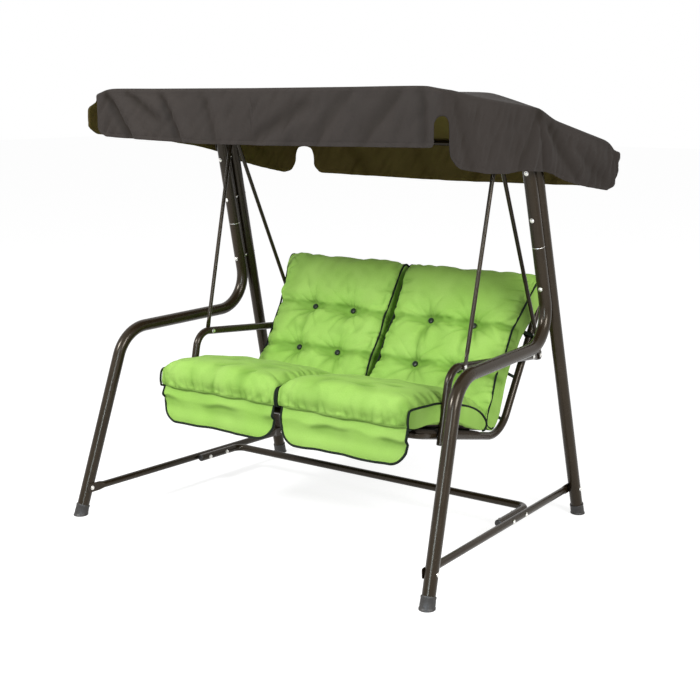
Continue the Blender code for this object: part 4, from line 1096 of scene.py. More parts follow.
def inflate(piece, pinned, cap):
    """Blows a sewn cover up with Cloth. Its seams and tufts hold, and no point moves past the cap."""
    group = piece.vertex_groups.new(name="sewn")
    group.add([int(i) for i in pinned], 1.0, "REPLACE")
    before = np.array([v.co for v in piece.data.vertices])
    cloth = piece.modifiers.new("Cloth", "CLOTH")
    settings = cloth.settings
    settings.quality = 4
    settings.mass = 0.25
    settings.tension_stiffness = 18.0
    settings.compression_stiffness = 18.0
    settings.shear_stiffness = 6.0
    settings.bending_stiffness = PAD_BENDING
    settings.air_damping = 2.0
    settings.use_pressure = True
    settings.uniform_pressure_force = PAD_PRESSURE
    settings.shrink_min = -PAD_GROWTH
    settings.vertex_group_mass = group.name
    settings.effector_weights.gravity = 0.0
    cloth.collision_settings.use_collision = False
    cloth.point_cache.frame_start = 1
    cloth.point_cache.frame_end = PAD_FRAMES
    scene = bpy.context.scene
    for number in range(1, PAD_FRAMES + 1):
        scene.frame_set(number)
    graph = bpy.context.evaluated_depsgraph_get()
    swollen = piece.evaluated_get(graph).data
    after = np.array([v.co for v in swollen.vertices])
    move = after - before
    length = np.linalg.norm(move, axis=1, keepdims=True)
    after = before + move * np.minimum(1.0, cap / np.maximum(length, 1e-9))
    piece.modifiers.remove(cloth)
    piece.vertex_groups.remove(group)
    scene.frame_set(1)
    piece.data.vertices.foreach_set("co", after.ravel())
    piece.data.update()


def ripples(across, along, seed, wavelengths, turns=(0.0, 2 * math.pi), count=14):
    """Small waves of about unit height that run within a range of angles, always the same for a seed."""
    rng = np.random.default_rng(seed)
    total = np.zeros(len(across))
    for _ in range(count):
        angle, phase = rng.uniform(*turns), rng.uniform(0, 2 * math.pi)
        pitch = 2 * math.pi / rng.uniform(*wavelengths)
        total += np.sin(pitch * (across * math.cos(angle) + along * math.sin(angle)) + phase)
    return total / math.sqrt(count)


def gather(across, along, start, end, depth, width):
    """A sharp fold that is deepest at its start and spreads and fades towards its end."""
    start = np.array(start)
    run = np.array(end) - start
    length = math.hypot(*run)
    run = run / length
    ahead = ((across - start[0]) * run[0] + (along - start[1]) * run[1]) / length
    beside = (across - start[0]) * -run[1] + (along - start[1]) * run[0]
    spread = width * (0.6 + np.clip(ahead, 0, 1))
    fade = np.clip(1 - ahead, 0, 1) * np.clip(1 + ahead * 8, 0, 1)
    return -depth * fade * np.exp(-np.abs(beside) / spread)


def crease(across, along, start, end, depth, width):
    """A pulled fold between two points of a flat sheet: a valley with a raised roll beside it."""
    start = np.array(start)
    run = np.array(end) - start
    length = math.hypot(*run)
    run = run / length
    ahead = (across - start[0]) * run[0] + (along - start[1]) * run[1]
    beside = (across - start[0]) * -run[1] + (along - start[1]) * run[0]
    over = np.maximum(np.maximum(-ahead, ahead - length), 0.0)
    fade = np.exp(-(over / (2.2 * width)) ** 2)
    valley = -np.exp(-(beside / width) ** 2)
    roll = 0.7 * np.exp(-((beside - 1.9 * width) / (1.4 * width)) ** 2)
    return depth * fade * (valley + roll)


def back_wrinkles(x, along, height, seed):
    """Valleys from tuft to tuft and to the edges, and gathers from each tuft and along the side seams."""
    front = np.clip((height - 0.085) / 0.02, 0, 1)
    lift = 0.0009 * ripples(x, along, seed, (0.050, 0.120))
    inner, outer = TUFT_X
    low, high = TUFT_ALONG
    rng = np.random.default_rng(seed)
    for row, bend in ((high, 0.006), (low, -0.008)):
        stops = [(0.022, row - bend), (inner, row), (outer, row), (0.572, row + bend)]
        for start, end in zip(stops, stops[1:]):
            for valley in ROW_VALLEYS:
                lift += crease(x, along, start, end, *valley)
    for column in TUFT_X:
        lift += crease(x, along, (column, low), (column, high), *COLUMN_VALLEY)
        for row in TUFT_ALONG:
            turns = np.arange(TUFT_GATHERS) / TUFT_GATHERS * 2 * math.pi
            turns = turns + rng.uniform(-0.22, 0.22, TUFT_GATHERS)
            for turn, reach in zip(turns, rng.uniform(0.080, 0.190, TUFT_GATHERS)):
                end = (column + reach * math.cos(turn), row + reach * math.sin(turn))
                lift += gather(x, along, (column, row), end, *TUFT_GATHER)
    for edge, inwards in ((0.016, 1.0), (0.580, -1.0)):
        starts = np.linspace(-0.265, 0.300, EDGE_GATHERS) + rng.uniform(-0.014, 0.014, EDGE_GATHERS)
        for start in starts:
            reach = rng.uniform(0.035, 0.105)
            end = (edge + inwards * reach, start + rng.uniform(-0.035, 0.035))
            lift += gather(x, along, (edge, start), end, *EDGE_GATHER)
    shallow = np.where(lift < 0, DEEPEST_WRINKLE * np.tanh(lift / DEEPEST_WRINKLE), lift)
    for column in TUFT_X:
        for row in TUFT_ALONG:
            squared = (x - column) ** 2 + (along - row) ** 2
            shallow *= 1 - np.exp(-squared / TUFT_FLAT_RADIUS ** 2)
    return shallow * front


def seat_wrinkles(x, along, height, seed):
    """Upright puckers above the front seam, and loose folds and slow waves over the top."""
    lift = 0.0020 * ripples(x, along, seed, (0.070, 0.170))
    rng = np.random.default_rng(seed)
    climb = np.where(along < -0.09, height - 0.035, 0.080 + (along + 0.09))
    for place in np.linspace(0.03, 0.57, SEAT_PUCKERS) + rng.uniform(-0.012, 0.012, SEAT_PUCKERS):
        lean, reach = rng.uniform(-0.35, 0.35), rng.uniform(0.035, 0.095)
        deep, width = rng.uniform(0.0020, 0.0046), rng.uniform(0.0080, 0.0130)
        up = np.clip(climb / reach, 0, 1)
        fade = np.clip(1 - up, 0, 1) * (climb > -0.012) * (along < 0.08)
        lift -= 1.3 * deep * fade * np.exp(-np.abs(x - place - lean * climb) / (width * (0.8 + up)))
    for _ in range(SEAT_FOLDS):
        start = (rng.uniform(0.03, 0.56), rng.uniform(-0.13, 0.20))
        turn, reach = rng.uniform(-0.5, 0.5) + rng.integers(2) * math.pi, rng.uniform(0.08, 0.20)
        end = (start[0] + reach * math.cos(turn), start[1] + reach * math.sin(turn))
        depth = rng.uniform(0.0030, 0.0055)
        lift += gather(x, along, start, end, depth, SEAT_FOLD_WIDTH) * (height > 0.06)
    slow = np.sin(2 * math.pi * x / 0.19 + seed) * np.exp(-((along + 0.06) / 0.10) ** 2)
    return lift + 0.0022 * slow


def add_pad(pad, node, tufts, piped, seed, cap, wrinkles, under=GREEN):
    """A cushion that is sewn, blown up and wrinkled, with the lines of its seams and its button places."""
    rows, cloth, around = pad.build(tufts)
    points = rows.reshape(-1, 3)
    piece = make_piece(pad.name, points, pad.faces(), GREEN, under)
    flat = cloth.reshape(-1, 2)
    ring = pad.ring
    main_faces = pad.columns * ring
    last_piped = pad.marks[piped]
    for face in piece.data.polygons[:main_faces]:
        face.material_index = int(face.index % ring >= last_piped)

    def place_at(face, point):
        u, v = flat[point]
        closing = face.index < main_faces and face.index % ring == ring - 1
        if closing and point % ring == 0:
            v = around
        if face.index >= main_faces and point < pad.main_count:
            u, v = pad.edge[point % ring]
        return u, v

    def away_from(tuft, places):
        along = (places - pad.origin) @ pad.along
        away = np.hypot(places[:, 0] * pad.sign - tuft[0], along - tuft[1])
        return np.where((places - pad.origin) @ pad.facing > FACE_HEIGHT, away, FAR_AWAY)

    set_cloth_map(piece.data, place_at)
    face_out(piece.data, merge=False)
    number = np.arange(len(points))
    column = number // ring
    height = (points - pad.origin) @ pad.facing
    sewn = (column == 0) | (column >= pad.columns) | (height < BASE_HEIGHT)
    for tuft in tufts:
        sewn |= away_from(tuft, points) < TUFT_SEWN_RADIUS
    seams = [points[pad.seam(end, piped)] for end in ("inner", "outer")]
    inflate(piece, number[sewn], cap)
    refine(piece, PAD_REFINEMENT)
    places = points_of(piece.data)
    local = places - pad.origin
    lift = wrinkles(places[:, 0] * pad.sign, local @ pad.along, local @ pad.facing, seed)
    push_out(piece.data, lift)
    places = points_of(piece.data)
    painted_tuft_shade = np.zeros(len(places))
    buttons = []
    for tuft in tufts:
        away = away_from(tuft, places)
        painted_tuft_shade = np.maximum(painted_tuft_shade, np.exp(-(away / TUFT_SHADE_RADIUS) ** 2))
        below = places[away < BUTTON_SEAT_RADIUS] - pad.origin
        height = (below @ pad.facing).mean() + BUTTON_LIFT
        buttons.append(pad.place(tuft[0], np.array([[tuft[1], height]]))[0])
    # Painted shade: the fold attribute darkens the wrinkles' valleys and the cloth round each tuft
    paint_fold_shade(piece.data, np.clip(-lift / DEEPEST_WRINKLE, 0, 0.6) + painted_tuft_shade * 0.4)
    smooth(piece, 180)
    mount(piece, "seat", "green_fabric", node)
    return piece, seams, buttons


def piping_tree():
    """A round cord along a line of points."""
    tree = NodeTree("piping")
    radius = tree.input("Radius", "NodeSocketFloat")
    cloth = tree.input("Cloth", "NodeSocketMaterial")
    line = tree.node("GeometryNodeMeshToCurve", {"Mesh": tree.inside.outputs[0]})
    circle = tree.node("GeometryNodeCurvePrimitiveCircle", {"Resolution": 10, "Radius": radius})
    cord = tree.node("GeometryNodeCurveToMesh", {"Curve": line, "Profile Curve": circle, "Fill Caps": True})
    tree.finish(cord, cloth)
    return tree


def button_tree():
    """Dished buttons on points that carry their facing."""
    tree = NodeTree("buttons")
    radius = tree.input("Radius", "NodeSocketFloat")
    material = tree.input("Material", "NodeSocketMaterial")

    ball = tree.node("GeometryNodeMeshUVSphere",
                     {"Segments": 28, "Rings": 14, "Radius": tree.times(radius, 0.96)})
    squash = tree.node("ShaderNodeCombineXYZ", {"X": 1.0, "Y": 1.0, "Z": 0.30})
    disc = tree.node("GeometryNodeTransform", {"Geometry": ball, "Scale": squash})
    rim_line = tree.node("GeometryNodeCurvePrimitiveCircle",
                         {"Resolution": 32, "Radius": tree.times(radius, 0.74)})
    rim_round = tree.node("GeometryNodeCurvePrimitiveCircle",
                          {"Resolution": 10, "Radius": tree.times(radius, 0.26)})
    ring = tree.node("GeometryNodeCurveToMesh", {"Curve": rim_line, "Profile Curve": rim_round})
    lift = tree.node("ShaderNodeCombineXYZ", {"Z": tree.times(radius, 0.16)})
    rim = tree.node("GeometryNodeTransform", {"Geometry": ring, "Translation": lift})
    shape = tree.node("GeometryNodeJoinGeometry", {"Geometry": [disc, rim]})
    facing = tree.node("GeometryNodeInputNamedAttribute", {"Name": "facing"}, data_type="FLOAT_VECTOR")
    turn = tree.node("FunctionNodeAlignRotationToVector", {"Vector": facing}, axis="Z")
    points = {"Points": tree.inside.outputs[0], "Instance": shape, "Rotation": turn}
    tree.finish(tree.node("GeometryNodeInstanceOnPoints", points), material)
    return tree


def line_mesh(name, lines):
    """A mesh of loose lines, each a list of points."""
    points, edges = [], []
    for line in lines:
        first = len(points)
        points += [tuple(p) for p in line]
        edges += [(first + i, first + i + 1) for i in range(len(line) - 1)]
    mesh = bpy.data.meshes.new(name)
    mesh.from_pydata(points, edges, [])
    return mesh


def add_piping(tree, name, body, slot, lines, radius=PIPING_RADIUS, finish=PIPING):
    piece = tree.apply(name, line_mesh(name + "_line", lines), {"Radius": radius, "Cloth": finish})
    smooth(piece, 60)
    return mount(piece, body, slot)


def add_cushions():
    cords = piping_tree()
    button_places = []
    lines = []
    tufts = [(x, s, h) for s, h in zip(TUFT_ALONG, TUFT_HEIGHT) for x in TUFT_X]
    for number, side in enumerate(SIDES):
        seat = Pad("seat_pad_" + side, side, SEAT_ORIGIN, SEAT_ALONG, SEAT_UP, SEAT_MIDDLE, SEAT_EDGE,
                   SEAT_SIDES)
        piece, seams, _ = add_pad(seat, "seat_cushion_" + side, [], SEAT_PIPED, number + 11, SEAT_SWELL,
                                  seat_wrinkles, SLING)
        lines += seams
        back = Pad("back_pad_" + side, side, BACK_ORIGIN, BACK_ALONG, BACK_FORWARD, BACK_MIDDLE, BACK_EDGE,
                   BACK_SIDES)
        piece, seams, buttons = add_pad(back, "back_cushion_" + side, tufts, BACK_PIPED, number + 21,
                                        BACK_SWELL, back_wrinkles)
        lines += seams
        button_places += buttons
    add_piping(cords, "cushion_piping", "seat", "green_fabric", lines)
    mesh = bpy.data.meshes.new("button_points")
    mesh.from_pydata([tuple(p) for p in button_places], [], [])
    layer = mesh.attributes.new("facing", "FLOAT_VECTOR", "POINT")
    for item in layer.data:
        item.vector = tuple(BACK_FORWARD)
    buttons = button_tree().apply("tuft_buttons", mesh, {"Radius": BUTTON_RADIUS, "Material": BUTTON})
    smooth(buttons, 60)
    mount(buttons, "seat", "green_fabric")
    return cords


# Front flaps, slings and ties

FLAP_SEAM = (-0.4500, 0.5340)
FLAP_X = (0.020, 0.582)
FLAP_BOTTOM_Z = 0.388
FLAP_CORNER_RADIUS = 0.075
FLAP_BINDING_RADIUS = 0.0050
FLAP_CELL = 0.007
FLAP_THICKNESS = 0.0024
FLAP_TUCK = 0.012
FLAP_FOLD_DROP = 0.036
FLAP_LEAN = 0.014
FLAP_KICK = 0.013
FLAP_SHADE = 0.28
SLING_HALF_WIDTH = 0.572
SLING_THICKNESS = 0.0020
SEAT_SLING_SPAN = (-0.070, 0.380)
BACK_SLING_SPAN = (-0.190, 0.334)
BACK_SLING_HALF_WIDTH = 0.500
SLING_CELL = 0.012
SLING_WRAP = math.radians(58)
SLING_WRAP_STEPS = 6
SLING_SLACK = 0.0012
SLING_HEM = 0.010
TIE_ALONG = (0.125, -0.061, -0.237)
TIE_WIDTH = 0.012
TIE_THICKNESS = 0.0014
TIE_TAILS = (0.016, 0.012)
TIE_TAIL_X = 0.5985
TIE_TAIL_STEPS = 6
# A loose tie and the tied loop, as (across, out from the back's plane)
TIE_STUB = ((0.566, 0.070), (0.572, 0.060), (0.577, 0.050), (0.581, 0.041), (0.584, 0.036))
TIE_LOOP = [
    (0.5700, 0.0600), (0.5830, 0.0340), (0.5965, 0.0120), (0.5955, -0.0060), (0.5870, -0.0165),
    (0.5730, -0.0170), (0.5630, -0.0080), (0.5615, 0.0060), (0.5660, 0.0220), (0.5690, 0.0420),
]


def flap_relief(across, down, number):
    """How far a flap stands out, and its fold shade.

    It leans forward to a wandering fold, falls back below it, and kicks out at its hem.
    """
    x, d = across.ravel(), np.maximum(down.ravel() - FLAP_TUCK, 0)
    rng = np.random.default_rng(number + 31)
    phase = rng.uniform(0, 2 * math.pi, 6)
    fold = FLAP_FOLD_DROP + 0.005 * np.sin(x * 17.0 + phase[0]) + 0.003 * np.sin(x * 47.0 + phase[1])
    strength = 0.80 + 0.20 * np.sin(x * 21.0 + phase[2])
    hollow = 0.55 + 0.45 * np.tanh(2.2 * np.sin(x * 20.0 + phase[3]))
    fallen = 1.2 * hollow * ease((d - fold) / 0.020)
    out = FLAP_LEAN * strength * (np.clip(d / fold, 0, 1) - fallen)
    out += FLAP_KICK * ease((d - 0.070) / 0.050) * (0.9 + 0.1 * np.sin(x * 19.0 + phase[4]))
    out += 0.0022 * np.sin(x * 43.0 + 25.0 * d + phase[5]) * ease(d / 0.060)
    shade = FLAP_SHADE * hollow * ease((d - fold) / 0.015) * (1 - ease((d - 0.055) / 0.045))
    return out.reshape(across.shape), shade


def add_flaps(cords):
    """Green flaps that hang from the seat cushions' front seams, bound round their free edges."""
    columns = round((FLAP_X[1] - FLAP_X[0]) / FLAP_CELL) + 1
    drop = FLAP_SEAM[1] - FLAP_BOTTOM_Z
    rows = round(drop / FLAP_CELL) + 1
    lines = []
    for number, (side, sign) in enumerate(SIDES.items()):
        spread, share = np.meshgrid(np.linspace(0, 1, columns), np.linspace(0, 1, rows))
        spread = spread * 0.75 + 0.25 * (1 - np.cos(math.pi * spread)) / 2
        x = FLAP_X[0] + (FLAP_X[1] - FLAP_X[0]) * spread
        from_side = np.minimum(x - FLAP_X[0], FLAP_X[1] - x)
        past = np.clip(1 - from_side / FLAP_CORNER_RADIUS, 0, 1)
        depth = share * (drop - FLAP_CORNER_RADIUS * (1 - np.sqrt(1 - past ** 2)))
        out, shade = flap_relief(x, depth, number)
        points = np.stack([x * sign, FLAP_SEAM[0] - out, FLAP_SEAM[1] - depth], -1).reshape(-1, 3)
        flat = np.stack([x, depth], -1).reshape(-1, 2)
        forward = Vector((0, -1.0, 0))
        piece, area = make_sheet("front_flap_cloth_" + side, points, grid_faces(columns, rows), flat, shade,
                                 forward, GREEN)
        thicken(piece, FLAP_THICKNESS)
        subdivide(piece)
        mount(piece, "seat", "green_fabric", "front_flap_" + side)
        grid = points.reshape(rows, columns, 3) - np.array((0, FLAP_THICKNESS * -0.5, 0))
        lines.append(np.concatenate([grid[:, 0], grid[-1, 1:-1], grid[::-1, -1]]))
    add_piping(cords, "flap_binding", "seat", "green_fabric", lines, FLAP_BINDING_RADIUS)


def add_slings():
    """Dark cloth: the seat's turned down over the side tubes, the back's hung from the top tube."""
    loop = SEAT_TUBE_RADIUS + GAP
    angles = [SLING_WRAP * k / SLING_WRAP_STEPS for k in range(1, SLING_WRAP_STEPS + 1)]
    turn = [(loop * math.sin(angle), loop * math.cos(angle)) for angle in angles]

    def even(low, high):
        return list(np.linspace(low, high, round((high - low) / SLING_CELL) + 1))

    over_sides = [(-SEAT_TUBE_X - out, h) for out, h in reversed(turn)]
    over_sides += [(x, loop) for x in even(-SEAT_TUBE_X, SEAT_TUBE_X)]
    over_sides += [(SEAT_TUBE_X + out, h) for out, h in turn]
    plain = [(x, loop) for x in even(-BACK_SLING_HALF_WIDTH, BACK_SLING_HALF_WIDTH)]
    level = [(s, 0.0) for s in even(*SEAT_SLING_SPAN)]
    over_top = [(s, 0.0) for s in even(*BACK_SLING_SPAN)]
    over_top += [(BACK_SLING_SPAN[1] + out, h - loop) for out, h in turn]
    for node, origin, along, facing, section, run, held in (
        ("seat_sling", SEAT_ORIGIN, SEAT_ALONG, SEAT_UP, over_sides, level, "stretched"),
        ("back_sling", BACK_ORIGIN, BACK_ALONG, BACK_FORWARD, plain, over_top, "hung"),
    ):
        points, flat = [], []
        for s, sink in run:
            for x, h in section:
                slack = SLING_SLACK * math.sin(s * 31.0) * max(0.0, 1 - abs(x) / SLING_HALF_WIDTH)
                points.append(origin + along * s + facing * (h + sink + slack) + X_AXIS * x)
                flat.append((x, s))
        piece, area = make_sheet(node + "_cloth", points, grid_faces(len(section), len(run)), flat,
                                 np.zeros(len(points)), facing, SLING)
        thicken(piece, SLING_THICKNESS, 1.0)
        mount(piece, "seat", "sling_fabric", node)
        width = section[-1][0] - section[0][0] + SLING_HEM
        length = run[-1][0] - run[0][0] + SLING_HEM


def add_ties():
    """Dark webbing ties on the back cushions' outer edges: the top one round the tube, the others loose."""
    vertices, faces = [], []
    top, *lower = TIE_ALONG

    def back_place(s, x, h):
        return BACK_ORIGIN + BACK_ALONG * s + BACK_FORWARD * h + X_AXIS * x

    def strap(path, sideways):
        """A flat strap along a path, as wide as the tie."""
        first = len(vertices)
        directions = path_directions(path)
        for point, direction in zip(path, directions):
            lift = direction.cross(sideways).normalized() * TIE_THICKNESS / 2
            reach = sideways * TIE_WIDTH / 2
            for corner in (reach + lift, lift - reach, -reach - lift, reach - lift):
                vertices.append(point + corner)
        count = len(path)
        for a, b, c, d in ring_faces(count, 4):
            faces.append((first + a, first + b, first + c, first + d))
        faces.append(tuple(first + i for i in range(4)))
        faces.append(tuple(first + (count - 1) * 4 + i for i in range(4)))

    for sign in SIDES.values():
        for s in lower:
            drape = [back_place(s - 0.06 * (TIE_STUB[0][1] - h) ** 1.2, x * sign, h) for x, h in TIE_STUB]
            strap(drape, BACK_ALONG)
        curve, _ = closed_curve(TIE_LOOP, [4] * len(TIE_LOOP))
        loop = [back_place(top, x * sign, h) for x, h in curve]
        strap(loop + loop[:1], BACK_ALONG)
        for k, length in enumerate(TIE_TAILS):
            start = back_place(top + 0.004 * k, TIE_TAIL_X * sign, 0.0)
            tail = []
            for step in range(TIE_TAIL_STEPS + 1):
                share = step / TIE_TAIL_STEPS
                swing = 0.006 * math.sin(share * 2.6 + k)
                tail.append(start + X_AXIS * sign * (0.001 + swing * share) - Z_AXIS * length * share
                            + BACK_FORWARD * (0.010 * k - 0.004) * share)
            strap(tail, Vector((0, 1.0, 0)))
    piece = make_piece("cushion_ties", vertices, faces, PIPING)
    face_out(piece.data)
    smooth(piece, 40)
    mount(piece, "seat", "sling_fabric")


# Canopy cover

COVER_HALF_WIDTH = 0.789
COVER_FRONT = (-0.586, 1.686)
COVER_REAR = (0.7195, 1.468)
COVER_RIDGE = (0.075, 1.676)
COVER_SIDE_RIDGE = (0.075, 1.616)
COVER_SIDE_DIP = (0.190, 1.572)
COVER_FLAT_HALF_WIDTH = 0.585
COVER_THICKNESS = 0.0012
COVER_CELL = 0.0095
COVER_CORNER_RADIUS = 0.030
EAVE_RADIUS = 0.012
EAVE_STEPS = 4
ROOF_SAG = (0.013, 0.009)
SEAM_DEPTH = 0.0175
HEM_WIDTH = 0.014
# Slits at the corners, from the front left one round to the rear left one
SLIT_TOP = (0.024, 0.084, 0.028, 0.028)
SLIT_HALF_WIDTH = (0.010, 0.029, 0.016, 0.054)
SLIT_SHIFT = (0.0, 0.010, 0.0, 0.0)
FRONT_HEM = ((-0.789, 1.508), (-0.676, 1.502), (-0.235, 1.489), (0.177, 1.493), (0.789, 1.503))
REAR_HEM = ((-0.789, 1.300), (0.0, 1.292), (0.789, 1.300))
SIDE_HEM = (
    (-0.586, 1.455), (-0.470, 1.430), (-0.325, 1.408), (-0.178, 1.400), (-0.066, 1.404), (0.110, 1.392),
    (0.280, 1.345), (0.444, 1.317), (0.600, 1.295), (0.7195, 1.312),
)
LEFT_HEM = (
    (-0.586, 1.515), (-0.400, 1.496), (-0.200, 1.476), (0.000, 1.446), (0.053, 1.435), (0.148, 1.414),
    (0.278, 1.369), (0.427, 1.336), (0.590, 1.305), (0.7195, 1.322),
)
LEFT_FLARE = (0.042, 0.075)
FRONT_LIFT = ((-0.789, 0.0), (-0.485, 0.0), (0.0, 0.003), (0.431, 0.008), (0.730, 0.013), (0.789, 0.006))
FRONT_LIFT_REACH = 0.160
CORNER_DROOP = (0.022, 0.006, 0.030, 0.026)
CORNER_REACH = 0.055
# How far each valance's two lower corners are cut back, along and up
HEM_CORNERS = {
    "front": ((0.060, 0.045), (0.012, 0.012)),
    "right": ((0.055, 0.050), (0.095, 0.072)),
    "rear": ((0.055, 0.055), (0.055, 0.055)),
    "left": ((0.045, 0.045), (0.055, 0.055)),
}
CORNER_EARS = (0.0, 0.0, 0.016, 0.010)
VALANCE_FLARE = {"front": 0.004, "right": 0.012, "rear": 0.006, "left": 0.016}
# Pulled folds of each valance: start and end as (along, height), depth and width
FRONT_CREASES = [
    ((-0.711, 1.660), (-0.596, 1.506), 0.018, 0.020), ((-0.588, 1.661), (-0.477, 1.589), 0.012, 0.017),
    ((-0.419, 1.644), (-0.348, 1.511), 0.013, 0.018), ((-0.211, 1.628), (-0.167, 1.505), 0.008, 0.020),
    ((0.214, 1.615), (0.034, 1.520), 0.010, 0.026), ((0.412, 1.666), (0.299, 1.533), 0.008, 0.026),
    ((0.612, 1.667), (0.494, 1.527), 0.008, 0.028), ((0.716, 1.680), (0.724, 1.540), 0.010, 0.020),
]
RIGHT_CREASES = [
    ((0.055, 1.600), (-0.054, 1.442), 0.009, 0.024), ((0.065, 1.598), (0.102, 1.417), 0.009, 0.022),
    ((0.085, 1.592), (0.341, 1.368), 0.011, 0.028), ((0.150, 1.562), (0.553, 1.357), 0.008, 0.028),
    ((-0.500, 1.640), (-0.420, 1.460), 0.007, 0.030),
]
LEFT_CREASES = [
    ((0.055, 1.600), (-0.120, 1.480), 0.008, 0.026), ((0.070, 1.596), (0.180, 1.430), 0.009, 0.024),
    ((0.100, 1.585), (0.420, 1.400), 0.008, 0.028), ((-0.440, 1.660), (-0.340, 1.520), 0.006, 0.026),
]
REAR_CREASES = [
    ((-0.560, 1.450), (-0.440, 1.310), 0.007, 0.026), ((-0.180, 1.455), (-0.110, 1.305), 0.006, 0.026),
    ((0.250, 1.450), (0.150, 1.310), 0.007, 0.028), ((0.620, 1.450), (0.520, 1.310), 0.008, 0.028),
]
CREASES = {"front": FRONT_CREASES, "right": RIGHT_CREASES, "rear": REAR_CREASES, "left": LEFT_CREASES}
HEMS = {"front": FRONT_HEM, "right": SIDE_HEM, "rear": REAR_HEM, "left": LEFT_HEM}
DEEPEST_FOLD = 0.022
HEM_WAVE = 0.0035
RIPPLE_DEPTH = 0.0008
STREAK_DEPTH = 0.0018
STREAK_TURNS = (-0.95, -0.30)
STITCH_HALF_WIDTH = 0.0022
PANEL_SEAM_X = 0.024
PANEL_SEAM_HALF_WIDTH = 0.006
# Rows of points below the eave, down to the slits' arches and on to the hem
UPPER_ROWS = (0.0145, 0.0160, SEAM_DEPTH, 0.0190, 0.0215)
ARCH_ROWS = 8
LOWER_ROWS = 9
HEM_ROWS = (1.15, 1.0, 0.85, 0.5, 0.12, 0.0)


def cover_height(x, y):
    """The cloth roof's height: a low ridge over the hoop, falling to the tubes at the two sides."""
    soft = 0.030
    height = 0.0
    for shift, weight in ((-soft, 0.25), (0.0, 0.5), (soft, 0.25)):
        middle = along_profile([COVER_FRONT, COVER_RIDGE, COVER_REAR], y + shift)
        side = along_profile([COVER_FRONT, COVER_SIDE_RIDGE, COVER_SIDE_DIP, COVER_REAR], y + shift)
        beyond = np.abs(x) - COVER_FLAT_HALF_WIDTH
        past = (np.sqrt(beyond ** 2 + soft ** 2) + beyond) / 2 / (COVER_HALF_WIDTH - COVER_FLAT_HALF_WIDTH)
        height = height + weight * (middle + (side - middle) * np.minimum(past, 1.0))
    held = 1 - (np.abs(x) / COVER_HALF_WIDTH) ** 5
    ahead = np.clip((y - COVER_FRONT[0]) / (COVER_RIDGE[0] - COVER_FRONT[0]), 0, 1)
    behind = np.clip((y - COVER_RIDGE[0]) / (COVER_REAR[0] - COVER_RIDGE[0]), 0, 1)
    sag = ROOF_SAG[0] * 4 * ahead * (1 - ahead) + ROOF_SAG[1] * 4 * behind * (1 - behind)
    ripple = 0.0022 * np.sin(x * 17.0 + 1.1 * np.sin(y * 6.0)) * (behind * (1 - behind) * 4)
    lift = along_profile(FRONT_LIFT, x) * np.exp(-((y - COVER_FRONT[0]) / FRONT_LIFT_REACH) ** 2)
    droop = 0.0
    ends = ((-1, COVER_FRONT[0]), (1, COVER_FRONT[0]), (1, COVER_REAR[0]), (-1, COVER_REAR[0]))
    for (sign, end_y), drop in zip(ends, CORNER_DROOP):
        away = np.hypot(x - sign * COVER_HALF_WIDTH, y - end_y)
        droop = droop + drop * np.exp(-(away / CORNER_REACH) ** 2)
    return height - (sag - ripple) * held + lift - droop


def graded(low, high):
    """Grid lines from low to high, twice as close near the two ends."""
    margin = 0.075
    fine = np.linspace(0, margin, round(margin / COVER_CELL * 2) + 1)
    span = high - low - 2 * margin
    middle = np.linspace(low + margin, high - margin, round(span / COVER_CELL) + 1)
    return np.concatenate([low + fine[:-1], middle, high - fine[-2::-1]])


